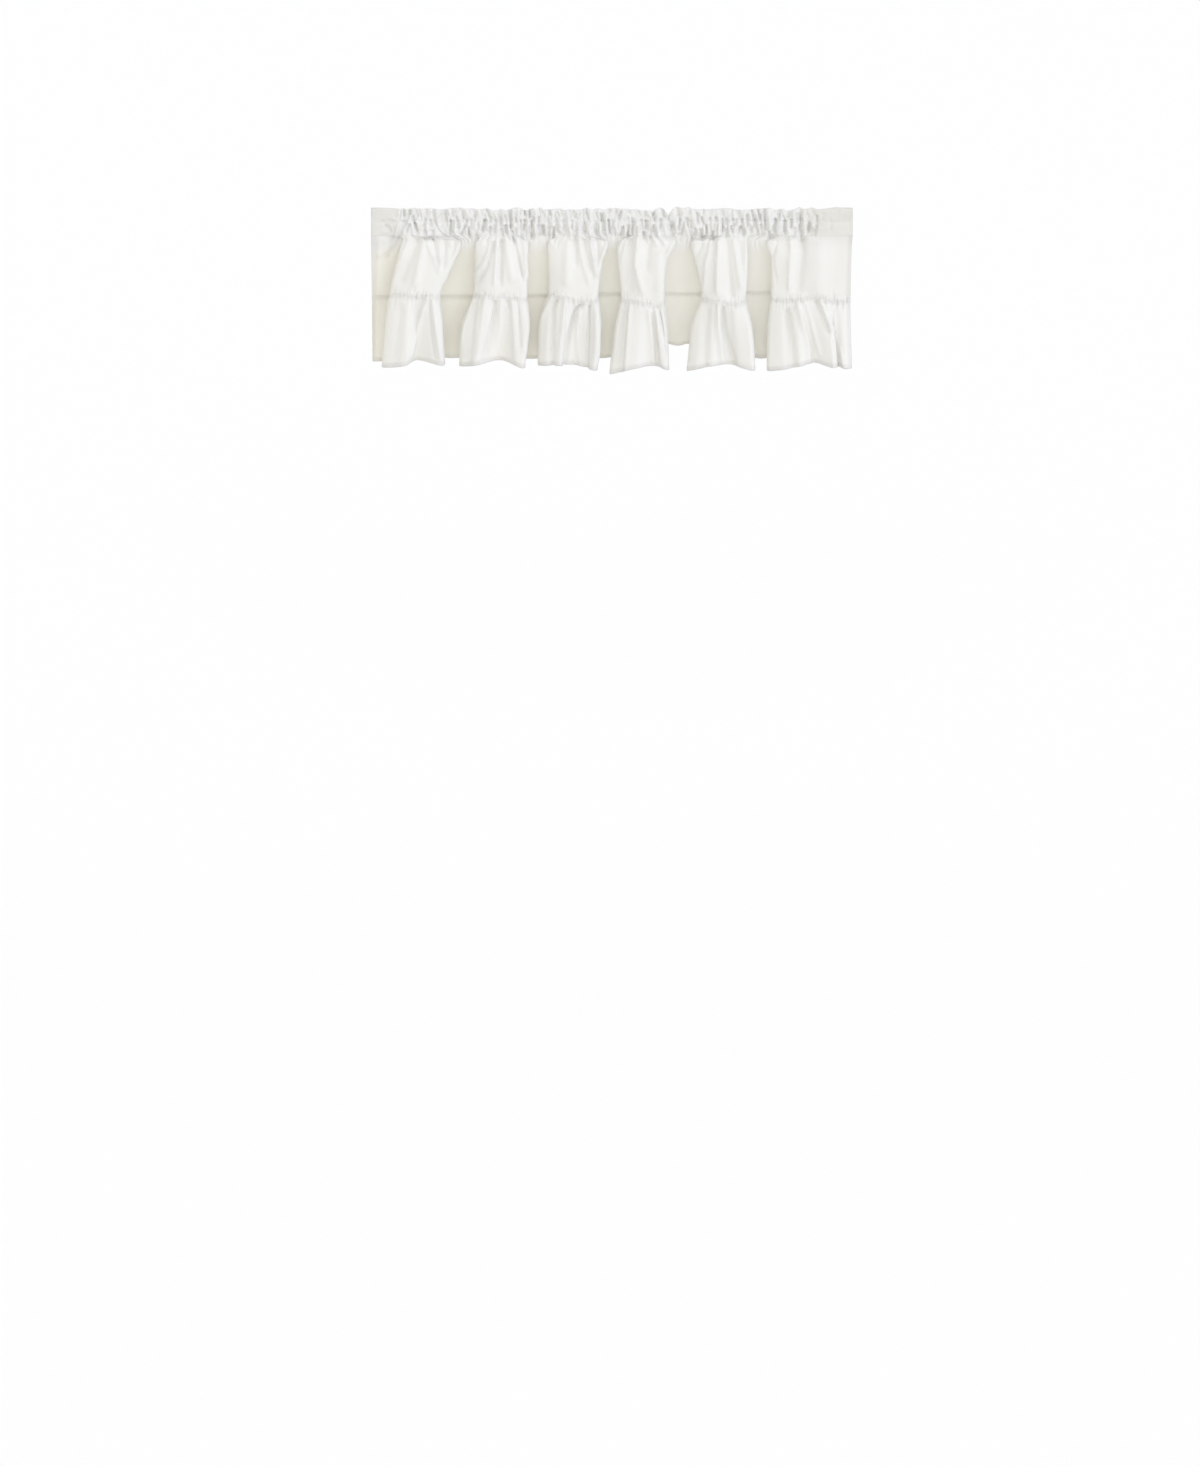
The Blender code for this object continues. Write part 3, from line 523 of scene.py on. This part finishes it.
def front_share(y, down):
    """1 on the fronts of the folds, 0 in the recesses."""
    front = np.interp(down, LEVEL_DOWNS, [level["front"] for level in LEVELS])
    recess = np.interp(down, LEVEL_DOWNS, [level["recess"] for level in LEVELS])
    shown = ease((mix(front, recess, FRONT_ENDS) - y) / (FRONT_FADE * (recess - front)))
    return shown * ease((down - POCKET_FOOT) / FRONT_STARTS)


# ---------------------------------------------------------------- creases, gathers and puckers
def along_line(points, x, down):
    """For each place: how far along a line of points it lies, its length, and the distance from it."""
    xs = np.array([point[0] for point in points]) * MM
    downs = np.array([point[1] for point in points]) * MM
    lengths = np.hypot(np.diff(xs), np.diff(downs))
    best, run = np.full(len(x), np.inf), np.zeros(len(x))
    for k, length in enumerate(lengths):
        step_x, step_down = (xs[k + 1] - xs[k]) / length, (downs[k + 1] - downs[k]) / length
        reach = (x - xs[k]) * step_x + (down - downs[k]) * step_down
        reach = np.clip(reach, -1.0 if k == 0 else 0.0, 1.0 if k == len(lengths) - 1 else length)
        away = np.hypot(x - xs[k] - reach * step_x, down - downs[k] - reach * step_down)
        run = np.where(away < best, lengths[:k].sum() + reach, run)
        best = np.minimum(away, best)
    return run, lengths.sum(), best


def creased(table, x, down):
    """How far the creases of a table push the cloth out."""
    out = np.zeros(len(x))
    for row in table:
        crease = dict(zip(CREASE_COLUMNS, row))
        run, length, away = along_line(crease["points"], x, down)
        half = np.interp(run / length, (0, 1), crease["half_width"]) * MM
        shown = ease(run / CREASE_FADE + 0.5) * ease((length - run) / CREASE_FADE + 0.5)
        out += crease["out"] * MM * shown * np.exp(-(away / half) ** 2)
    return out


def gathered(x, down):
    """How far the gathers of their table push the cloth out."""
    out = np.zeros(len(x))
    for row in GATHER_CREASES:
        gather = dict(zip(GATHER_COLUMNS, row))
        near = np.abs(x - gather["points"][0][0] * MM) < GATHER_REACH
        run, length, away = along_line(gather["points"], x[near], down[near])
        fade = FOOT_FADE if gather["points"][-1][1] * MM > RUNS_DOWN else GATHER_FADE
        shown = ease(run / GATHER_FADE + 0.6) * ease((length - run) / fade + 0.6)
        out[near] += gather["out"] * MM * shown * np.exp(-(away / (gather["half_width"] * MM)) ** 2)
    return out


def hollows(along, down, seed, count, first, last, head, foot, lean, half, depth):
    """Random narrow hollows along the cloth from first to last, each a little off its even place.

    head, foot, half and depth are (least, most): where a hollow starts and ends, its half width and how deep
    it is. lean is the most that it leans to either side.
    """
    dice = np.random.default_rng(seed)
    pitch = (last - first) / count
    total = np.zeros(len(along))
    for k in range(count):
        centre = first + (k + 0.5 + dice.uniform(-0.3, 0.3)) * pitch
        top, bottom = dice.uniform(*head), dice.uniform(*foot)
        slant, width, deep = dice.uniform(-lean, lean), dice.uniform(*half), dice.uniform(*depth)
        run = (down - top) / (bottom - top)
        rise = ease(run * 3.0) * ease((1.0 - run) * 2.2)
        total += deep * rise * np.exp(-((along - centre - slant * (0.5 - run)) / width) ** 2)
    return total


def pleat_depth(along, down):
    """How far the small gathers are drawn in, between the larger ones of the heading and just below it."""
    first, last = FLAT_LEFT, CLOTH_WIDTH - FLAT_RIGHT
    pocket = hollows(
        along, down, seed=11, count=PLEATS, first=first, last=last, head=(0.018, 0.034), foot=(0.050, 0.075),
        lean=0.016, half=(2.2 * MM, 3.6 * MM), depth=(0.8 * MM, 4.0 * MM),
    )
    header = hollows(
        along, down, seed=12, count=PLEATS, first=first, last=last, head=(-0.020, 0.004), foot=(0.022, 0.040),
        lean=0.020, half=(2.4 * MM, 4.2 * MM), depth=(0.8 * MM, 4.0 * MM),
    )
    rays = hollows(
        along, down, seed=13, count=PLEATS, first=first, last=last, head=(0.044, 0.056), foot=(0.070, 0.110),
        lean=0.006, half=(2.4 * MM, 4.5 * MM), depth=(0.6 * MM, 2.6 * MM),
    )
    fade = ease((along - first) / PLEATS_START + 0.3) * ease((last - along) / PLEATS_END + 0.5)
    return (pocket + header + rays) * fade


def pucker_depth(along, down):
    """How far the hollows between the seam's tiny gathers are drawn in."""
    above = hollows(
        along, down, seed=23, count=PUCKERS, first=0.0, last=CLOTH_WIDTH, head=(SEAM - 0.018, SEAM - 0.006),
        foot=(SEAM + 0.004, SEAM + 0.010), lean=0.002, half=(1.4 * MM, 2.3 * MM), depth=(0.3 * MM, 2.6 * MM),
    )
    under = hollows(
        along, down, seed=24, count=PUCKERS, first=0.0, last=CLOTH_WIDTH, head=(SEAM - 0.006, SEAM - 0.002),
        foot=(SEAM + 0.010, SEAM + 0.035), lean=0.004, half=(1.4 * MM, 2.6 * MM), depth=(0.3 * MM, 2.6 * MM),
    )
    return above + under


def unevenness(along, down, seed, size):
    """Slight soft waves all over the cloth, as it has after washing."""
    dice = np.random.default_rng(seed)
    total = np.zeros(len(along))
    for _ in range(WAVES):
        length_along, length_down = dice.uniform(0.03, 0.10), dice.uniform(0.07, 0.25)
        phase = dice.uniform(0, 2 * math.pi)
        turns = along / length_along + down / length_down * dice.choice((-1, 1))
        total += np.sin(2 * math.pi * turns + phase)
    return total / math.sqrt(WAVES) * size


# ---------------------------------------------------------------- where each sheet lies
def turned_sides(along):
    """Cloth past either end is the side hem: it is turned back, so it lies as far inside that end, behind."""
    inside = np.where(along > CLOTH_WIDTH, 2 * CLOTH_WIDTH - along, np.abs(along))
    past = np.maximum(-along, along - CLOTH_WIDTH)
    return inside, BEHIND * ease(past / (1.2 * BEHIND))


def push_out(along, down, x, y, out):
    """Moves points out of the cloth's face by out, square to its section seen from above."""
    step = 0.5 * MM
    x0, y0, _ = hang(np.clip(along - step, 0, CLOTH_WIDTH), down)
    x1, y1, _ = hang(np.clip(along + step, 0, CLOTH_WIDTH), down)
    length = np.hypot(x1 - x0, y1 - y0)
    return x + out * (y1 - y0) / length, y - out * (x1 - x0) / length


def top_edge(x):
    """Height of the header's top edge, with the table's corners taken off."""
    xs, heights = np.array(TOP_EDGE).T * MM
    corner = 1.2 * MM
    return 0.5 * (np.interp(x + corner, xs, heights) + np.interp(x - corner, xs, heights))


def heading_half(side, foot, bulge, pocket_follows):
    """One layer's section, from the foot of the pocket up to the header's top fold.

    Each knot is (how far out, down, share of the front's gathers). The layers move together where they are
    stitched, and apart in the pocket.
    """
    return (
        (side * foot, POCKET_FOOT, 1.0),
        (side * foot, POCKET_FOOT - STITCHED, 1.0),
        (side * mix(foot, bulge, 0.84), POCKET_FOOT - 0.5 * POCKET_SHOULDER, mix(1.0, pocket_follows, 0.5)),
        (side * bulge, POCKET_FOOT - POCKET_SHOULDER, pocket_follows),
        (side * bulge, HEADER + POCKET_SHOULDER, pocket_follows),
        (side * 0.84 * bulge, HEADER + 0.5 * POCKET_SHOULDER, mix(1.0, pocket_follows, 0.5)),
        (side * LAYER_HALF, HEADER + STITCHED, 1.0),
        (side * 1.25 * LAYER_HALF, STITCHED, 1.0),
    )


BACK_KNOTS = heading_half(1.0, LAYER_HALF, POCKET_BACK, -0.8)
FRONT_KNOTS = tuple(reversed(heading_half(-1.0, FOOT_FRONT, POCKET_FRONT, 1.0)))
HEADING_KNOTS = np.array(BACK_KNOTS + ((0.0, 0.0003, 1.0),) + FRONT_KNOTS)
HEADING_PATH = np.concatenate([[0.0], np.cumsum(np.hypot(*np.diff(HEADING_KNOTS[:, :2], axis=0).T))])
TOP_FOLD = HEADING_PATH[len(BACK_KNOTS)]


def place_heading(along, path):
    """The path goes up the back layer, over the top fold and down the front layer."""
    along, behind = turned_sides(along)
    knots = np.broadcast_to(HEADING_KNOTS[:, None, :], (len(HEADING_KNOTS), len(along), 3))
    y, down, follows = smooth(HEADING_PATH, knots, path).T
    x = x_on_rod(along)
    facing = np.where(path > TOP_FOLD, -1.0, 1.0)
    gathers = gathered(x, down) - pleat_depth(along, down)
    foot = ease((down - POCKET_FOOT) / FOOT_PULL + 1.0)
    sewn_foot = hang(along, down)[1] + facing * FOOT_STEP + np.where(facing < 0, FOOT_FRONT, -LAYER_HALF)
    y = y - follows * gathers - facing * behind + foot * sewn_foot
    z = -down + ease(1.0 - down / HEADER) * top_edge(x)
    return np.column_stack([x, y + unevenness(along, down, 5, HEADING_WAVES) * (1 - foot), z])


def place_upper(along, path):
    """The path goes down from the hidden edge in the pocket's foot to the seam, and on down the allowance."""
    along, behind = turned_sides(along)
    down = path
    x, y, lift = hang(along, down)
    front = front_share(y, down)
    out = UPPER_CREASING * creased(UPPER_CREASES, x, down) * front
    out += gathered(x, down)
    out -= pleat_depth(along, down)
    out -= SEWN_BACK * ease((POCKET_FOOT - down) / SEWN_IN)
    out -= pucker_depth(along, down) * mix(FLAT_PUCKERS, 1.0, front)
    out += unevenness(along, down, 3, CLOTH_WAVES) * ease((down - POCKET_FOOT) / WAVES_START)
    out -= GROOVE * front * ease((down - SEAM + GROOVE_HALF) / GROOVE_HALF)
    out -= BEHIND * ease((down - SEAM) / SEAM_BEND) + behind
    x, y = push_out(along, down, x, y, out)
    return np.column_stack([x, y, lift - down])


def place_ruffle(along, path):
    """The path goes down from the seam to the hem, and up again behind for the turned hem."""
    along, behind = turned_sides(along)
    turned = np.maximum(path - HEM, 0)
    down = np.where(turned > 0, HEM - turned, path)
    x, y, lift = hang(along, down)
    front = front_share(y, down)
    out = RUFFLE_CREASING * creased(RUFFLE_CREASES, x, down) * front
    out -= pucker_depth(along, down) * mix(FLAT_PUCKERS, 1.0, front)
    out += unevenness(along, down, 4, CLOTH_WAVES)
    out -= GROOVE * front * ease((SEAM + GROOVE_HALF - down) / GROOVE_HALF)
    out -= STITCH_DENT * np.exp(-((down - HEM + HEM_TURN - STITCH_IN) / STITCH_DENT_HALF) ** 2)
    out -= BEHIND * ease(turned / HEM_BEND) + behind
    x, y = push_out(along, down, x, y, out)
    return np.column_stack([x, y, lift - down])


def spread(*stretches):
    """Places along a path: each stretch is (from, to, number of steps)."""
    places = [np.linspace(start, stop, steps, endpoint=False) for start, stop, steps in stretches]
    return np.concatenate(places + [[stretches[-1][1]]])


HEADING_ROWS = spread((0, TOP_FOLD, 19), (TOP_FOLD, HEADING_PATH[-1], 38))
UPPER_ROWS = spread(
    (POCKET_FOOT - SEWN_IN, POCKET_FOOT, 1), (POCKET_FOOT, 0.100, 16), (0.100, SEAM - 0.012, 13),
    (SEAM - 0.012, SEAM, 7), (SEAM, SEAM + ALLOWANCE, 3),
)
RUFFLE_ROWS = spread(
    (SEAM, SEAM + 0.012, 7), (SEAM + 0.012, HEM - 0.012, 18), (HEM - 0.012, HEM, 8), (HEM, HEM + HEM_TURN, 5)
)


# ---------------------------------------------------------------- materials
def linear(colour):
    """An sRGB hex colour as linear red, green, blue and alpha."""
    channels = [int(colour[i:i + 2], 16) / 255 for i in (1, 3, 5)]
    return [c / 12.92 if c <= 0.04045 else ((c + 0.055) / 1.055) ** 2.4 for c in channels] + [1.0]


# The colour sockets of a Mix node
MIX_A, MIX_B, MIX_RESULT = 6, 7, 2


def node(tree, kind, settings=(), links=()):
    """Adds a shader node. Settings are its properties or input values, links are {input: output socket}."""
    new = tree.nodes.new(kind)
    for name, value in dict(settings).items():
        if isinstance(name, str) and hasattr(new, name):
            setattr(new, name, value)
        else:
            new.inputs[name].default_value = value
    for name, socket in dict(links).items():
        tree.links.new(socket, new.inputs[name])
    return new


def new_material(name):
    """A new material, its nodes and its main shader."""
    material = bpy.data.materials.new(name)
    material.use_nodes = True
    return material, material.node_tree, material.node_tree.nodes["Principled BSDF"]


# The threads of such cloth lie about 0.3 mm apart. They are drawn twice as coarse, so that they can be seen.
THREAD_PAIR = 0.0012       # width of two threads side by side
SLUB_PAIR = 0.030          # length over which a thread swells and thins again


def plain_weave_cotton(name, painted_warm_recesses):
    """Matt plain-weave cotton: soft, faintly fuzzy at grazing angles, with uneven threads both ways.

    It is thin enough to let some light through, which comes out warmer than what it reflects. On the side
    towards the room that warm light is also painted into the recesses; the side towards the window has none.
    """
    material, tree, cloth = new_material(name)
    cloth.inputs["Roughness"].default_value = 0.88
    cloth.inputs["IOR"].default_value = 1.46
    cloth.inputs["Specular IOR Level"].default_value = 0.25
    cloth.inputs["Sheen Weight"].default_value = 0.10
    cloth.inputs["Sheen Roughness"].default_value = 0.5
    # The map of the threads is in metres of flat cloth.
    threads = node(tree, "ShaderNodeUVMap", {"uv_map": "threads"})
    warp_place = node(tree, "ShaderNodeMapping", {"Scale": (1 / THREAD_PAIR, 1 / SLUB_PAIR, 1)},
                      {"Vector": threads.outputs["UV"]})
    weft_place = node(tree, "ShaderNodeMapping", {"Scale": (1 / SLUB_PAIR, 1 / THREAD_PAIR, 1)},
                      {"Vector": threads.outputs["UV"]})
    warp = node(tree, "ShaderNodeTexNoise", {"Scale": 1.0, "Detail": 2.0},
                {"Vector": warp_place.outputs["Vector"]})
    weft = node(tree, "ShaderNodeTexNoise", {"Scale": 1.0, "Detail": 2.0},
                {"Vector": weft_place.outputs["Vector"]})
    weave = node(tree, "ShaderNodeMath", {"operation": "ADD"},
                 {0: warp.outputs["Fac"], 1: weft.outputs["Fac"]})
    bump = node(tree, "ShaderNodeBump", {"Strength": 0.12, "Distance": 0.0003},
                {"Height": weave.outputs["Value"]})
    tree.links.new(bump.outputs["Normal"], cloth.inputs["Normal"])
    mottled = node(tree, "ShaderNodeMath", {"operation": "MULTIPLY_ADD", 1: 0.5}, {0: weave.outputs["Value"]})
    thread_tone = node(tree, "ShaderNodeMix",
                       {"data_type": "RGBA", MIX_A: linear("#f3f3f2"), MIX_B: linear("#f9f9f8")},
                       {"Factor": mottled.outputs["Value"]})
    # Painted shade on the flat ends and the turned hem, over the even darker tone of a single layer, from the
    # mesh
    tone_and_painted_shade = node(tree, "ShaderNodeAttribute", {"attribute_name": "tone_and_painted_shade"})
    toned_and_shaded = node(tree, "ShaderNodeMix", {"data_type": "RGBA", MIX_B: linear("#dedcd8")},
                  {"Factor": tone_and_painted_shade.outputs["Fac"], MIX_A: thread_tone.outputs[MIX_RESULT]})
    tone = toned_and_shaded.outputs[MIX_RESULT]
    # Painted warm light in the recesses, on the side towards the room only
    if painted_warm_recesses:
        painted_warm_light = node(tree, "ShaderNodeAttribute", {"attribute_name": "painted_warm_light"})
        painted_warm_mix = node(tree, "ShaderNodeMix", {"data_type": "RGBA", MIX_B: linear("#f6f2e4")},
                      {"Factor": painted_warm_light.outputs["Fac"], MIX_A: tone})
        tone = painted_warm_mix.outputs[MIX_RESULT]
    tree.links.new(tone, cloth.inputs["Base Color"])
    through = node(tree, "ShaderNodeBsdfTranslucent", {"Color": linear("#ecebe5")})
    thin = node(tree, "ShaderNodeMixShader", {0: THROUGH},
                {1: cloth.outputs["BSDF"], 2: through.outputs["BSDF"]})
    tree.links.new(thin.outputs["Shader"], tree.nodes["Material Output"].inputs["Surface"])
    return material


def sewing_thread(name):
    """Spun polyester sewing thread: smoother than the cloth, with a slight shine."""
    material, tree, shader = new_material(name)
    shader.inputs["Roughness"].default_value = 0.55
    shader.inputs["IOR"].default_value = 1.54
    place = node(tree, "ShaderNodeTexCoord")
    twist = node(tree, "ShaderNodeTexNoise", {"Scale": 900.0}, {"Vector": place.outputs["Object"]})
    tone = node(tree, "ShaderNodeMix",
                {"data_type": "RGBA", MIX_A: linear("#e9e7df"), MIX_B: linear("#f6f5f0")},
                {"Factor": twist.outputs["Fac"]})
    tree.links.new(tone.outputs[MIX_RESULT], shader.inputs["Base Color"])
    return material


# ---------------------------------------------------------------- the pieces
def add_object(name, data):
    """A new object, put in the scene."""
    new = bpy.data.objects.new(name, data)
    bpy.context.scene.collection.objects.link(new)
    return new


def cloth_sheet(name, place, columns, rows, flat_width, painted_light, sides):
    """A sheet of cloth: a flat grid hung on its folds, with a map of its threads, then given its thickness.

    Its two sides are the one towards the window and the one towards the room. The cut edges are crisp.
    """
    mesh = bpy.data.meshes.new(name)
    grid = bmesh.new()
    bmesh.ops.create_grid(grid, x_segments=columns, y_segments=len(rows) - 1, size=0.5)
    for edge in grid.edges:
        edge.smooth = not edge.is_boundary
    grid.to_mesh(mesh)
    grid.free()
    flat = np.empty(len(mesh.vertices) * 3)
    mesh.vertices.foreach_get("co", flat)
    share = flat.reshape(-1, 3)[:, 0] + 0.5
    row = np.round((flat.reshape(-1, 3)[:, 1] + 0.5) * (len(rows) - 1)).astype(int)
    along = mix(-SIDE_TURN, CLOTH_WIDTH + SIDE_TURN, share)
    mesh.vertices.foreach_set("co", place(along, rows[row]).ravel())
    # The mesh's attributes: the darker tone with painted shade, and painted warm light.
    for painted_attribute, values in zip(("tone_and_painted_shade", "painted_warm_light"), painted_light(np.clip(along, 0, CLOTH_WIDTH), rows[row])):
        mesh.attributes.new(painted_attribute, "FLOAT", "POINT").data.foreach_set("value", values)
    threads = np.column_stack([share * flat_width, rows[row]])
    corner = np.empty(len(mesh.loops), dtype=int)
    mesh.loops.foreach_get("vertex_index", corner)
    mesh.uv_layers.new(name="threads").data.foreach_set("uv", threads[corner].ravel())
    mesh.shade_smooth()
    for side in sides:
        mesh.materials.append(side)
    piece = add_object(name, mesh)
    thickness = piece.modifiers.new("cloth thickness", "SOLIDIFY")
    thickness.thickness = CLOTH
    thickness.offset = 0.0
    thickness.material_offset = thickness.material_offset_rim = 1
    return piece


# These three give, for each sheet, the darker tone with its painted shade, and the painted warm light, at the
# cloth's places.
def heading_painted_light(along, path):
    """Painted shade and painted warm light on the two flat ends, none on the gathered part, fading over 30 and
    50 mm.
    """
    flat_left = ease((FLAT_LEFT + 0.03 - along) / 0.03)
    flat_right = ease((along - CLOTH_WIDTH + FLAT_RIGHT + 0.04) / 0.05)
    flat = np.maximum(flat_left, flat_right)
    return FLAT_PAINTED_SHADE * flat, FLAT_PAINTED_WARM_LIGHT * flat


def painted_recess_warm_light(along, path):
    """Painted warm light in the recesses, standing for light from behind that has passed through more cloth
    there.
    """
    shown = 1 - front_share(hang(along, np.minimum(path, HEM))[1], path)
    below = ease((path - POCKET_FOOT - RECESSED_START) / RECESSED_FADE)
    return mix(*RECESS_PAINTED_WARM_LIGHT, along / CLOTH_WIDTH) * shown * below


def upper_painted_light(along, path):
    """Under the flat ends of the pocket the cloth has their painted shade, which partly clears further down.
    """
    below = mix(0.5, 1.0, ease((POCKET_FOOT + CLEARING - path) / CLEARING))
    return SINGLE + heading_painted_light(along, path)[0] * below, painted_recess_warm_light(along, path)


def ruffle_painted_light(along, path):
    """Painted shade where the turned hem lies behind the cloth, as less light comes through there."""
    hem = ease((path - HEM + HEM_TURN) / 0.001 + 0.5)
    return SINGLE + HEM_PAINTED_SHADE * hem, painted_recess_warm_light(along, path)


def stitch_line(name, place, path, cloth_width, material):
    """A row of short stitches along the cloth at one distance down its path, just proud of its face."""
    count = round(cloth_width / STITCH_PITCH)
    starts = (np.arange(count) + 0.5 * (1 - STITCH_SHARE)) / count * CLOTH_WIDTH
    ends = starts + STITCH_SHARE * CLOTH_WIDTH / count
    down = np.full(count, path)
    curve = bpy.data.curves.new(name, "CURVE")
    curve.dimensions = "3D"
    curve.bevel_depth = STITCH_HALF
    curve.bevel_resolution = 0
    curve.use_fill_caps = True
    curve.materials.append(material)
    here, there = place(starts, down), place(ends, down)
    below = place(starts, down + 0.5 * MM)
    out = np.cross(there - here, below - here)
    out *= (0.5 * CLOTH + STITCH_PROUD) / np.linalg.norm(out, axis=1)[:, None]
    for first, last in zip(here + out, there + out):
        spline = curve.splines.new("POLY")
        spline.points.add(1)
        spline.points[0].co = (*first, 1)
        spline.points[1].co = (*last, 1)
    return add_object(name, curve)


# Both sides carry painted shade from the mesh; the side towards the room also carries painted warm light in
# the recesses.
cotton = (
    plain_weave_cotton("off_white_plain_weave_cotton_window_side", False),
    plain_weave_cotton("off_white_plain_weave_cotton_room_side", True),
)
thread = sewing_thread("off_white_polyester_thread")

heading = cloth_sheet(
    "gathered_heading", place_heading, HEADING_COLUMNS, HEADING_ROWS, CLOTH_WIDTH, heading_painted_light, cotton
)
upper = cloth_sheet("upper_panel", place_upper, UPPER_COLUMNS, UPPER_ROWS, CLOTH_WIDTH, upper_painted_light, cotton)
ruffle = cloth_sheet(
    "gathered_ruffle", place_ruffle, RUFFLE_COLUMNS, RUFFLE_ROWS, RUFFLE_CUT, ruffle_painted_light, cotton
)

header_path = float(np.interp(HEADER, HEADING_KNOTS[len(BACK_KNOTS):, 1], HEADING_PATH[len(BACK_KNOTS):]))
header_stitches = stitch_line("header_stitches", place_heading, header_path, CLOTH_WIDTH, thread)
foot_stitches = stitch_line(
    "pocket_foot_stitches", place_heading, HEADING_PATH[-1] - STITCHED, CLOTH_WIDTH, thread
)
hem_stitches = stitch_line("hem_stitches", place_ruffle, HEM - HEM_TURN + STITCH_IN, RUFFLE_CUT, thread)

for piece in (heading, upper, ruffle, header_stitches, foot_stitches, hem_stitches):
    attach(piece, "root")
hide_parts("heading")
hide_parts("upper_cloth")
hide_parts("ruffle")

# ---------------------------------------------------------------- the stage: camera, floor and light
IMAGE = (1200, 1466)                     # width and height of the picture, in pixels
VALANCE_AT = (612, 286)                  # where the valance's middle lies in it
METRES_PER_PIXEL = 0.002093              # at the valance
VALANCE_MIDDLE = Vector((0.0, -0.005, -0.167))
CAMERA_DISTANCE = 18.0
CAMERA_ELEVATION = math.radians(12)
FLOOR_DOWN = 2.05                        # from the valance's top edge to the floor of the room
FLOOR_HALF = 60.0                        # half of its side, so large that no edge comes into view


def make_camera():
    """A long lens from slightly above, with the valance near the top of the picture."""
    back = Vector((0, -math.cos(CAMERA_ELEVATION), math.sin(CAMERA_ELEVATION)))
    across, lower = VALANCE_AT[0] - IMAGE[0] / 2, IMAGE[1] / 2 - VALANCE_AT[1]
    tilt = math.atan(lower * METRES_PER_PIXEL / CAMERA_DISTANCE)
    depth = CAMERA_DISTANCE * math.cos(tilt)
    data = bpy.data.cameras.new("camera")
    data.sensor_width = 36.0
    data.lens = data.sensor_width * depth / (METRES_PER_PIXEL * IMAGE[1])
    data.clip_end = 200.0
    camera = add_object("camera", data)
    camera.rotation_euler = (math.pi / 2 - CAMERA_ELEVATION - tilt, 0, 0)
    camera.location = VALANCE_MIDDLE + CAMERA_DISTANCE * back - Vector((across * METRES_PER_PIXEL, 0, 0))
    bpy.context.scene.camera = camera


def make_soft_light(name, from_direction, angle, strength, colour):
    """A large far softbox: parallel light, spread over a wide angle so that its shadows are soft."""
    data = bpy.data.lights.new(name, "SUN")
    data.angle = math.radians(angle)
    data.energy = strength
    data.color = linear(colour)[:3]
    add_object(name, data).rotation_euler = Vector(from_direction).to_track_quat("Z", "Y").to_euler()


def make_floor():
    """A plain pale floor, painted matt, with the slight unevenness of a rolled coat."""
    mesh = bpy.data.meshes.new("floor")
    plane = bmesh.new()
    lowered = Matrix.Translation((0, 0, -FLOOR_DOWN))
    bmesh.ops.create_grid(plane, x_segments=1, y_segments=1, size=FLOOR_HALF, matrix=lowered)
    plane.to_mesh(mesh)
    plane.free()
    material, tree, shader = new_material("matt_white_floor_paint")
    shader.inputs["Roughness"].default_value = 0.9
    shader.inputs["Specular IOR Level"].default_value = 0.1
    grain = node(tree, "ShaderNodeTexNoise", {"Scale": 2.0})
    tone = node(tree, "ShaderNodeMix",
                {"data_type": "RGBA", MIX_A: linear("#f3f3f2"), MIX_B: linear("#f5f5f4")},
                {"Factor": grain.outputs["Fac"]})
    tree.links.new(tone.outputs[MIX_RESULT], shader.inputs["Base Color"])
    mesh.materials.append(material)
    add_object("floor", mesh)


def make_world(colour, strength):
    """Even light from all round, as in a pale room."""
    world = bpy.data.worlds.new("pale_room")
    world.use_nodes = True
    background = world.node_tree.nodes["Background"]
    background.inputs["Color"].default_value = linear(colour)
    background.inputs["Strength"].default_value = strength
    bpy.context.scene.world = world


make_camera()
make_floor()
make_world("#fffefc", 0.95)
# The key light comes from the right and a little above, the fill from the front, a faint one from the top.
make_soft_light("key_light", (0.85, -0.52, 0.42), 40, 1.04, "#dde6ff")
make_soft_light("fill_light", (0.0, -1.0, 0.15), 35, 0.55, "#f4f1ec")
make_soft_light("top_light", (0.1, -0.15, 1.0), 80, 0.12, "#dde8ff")
bpy.context.scene.view_settings.view_transform = "Standard"
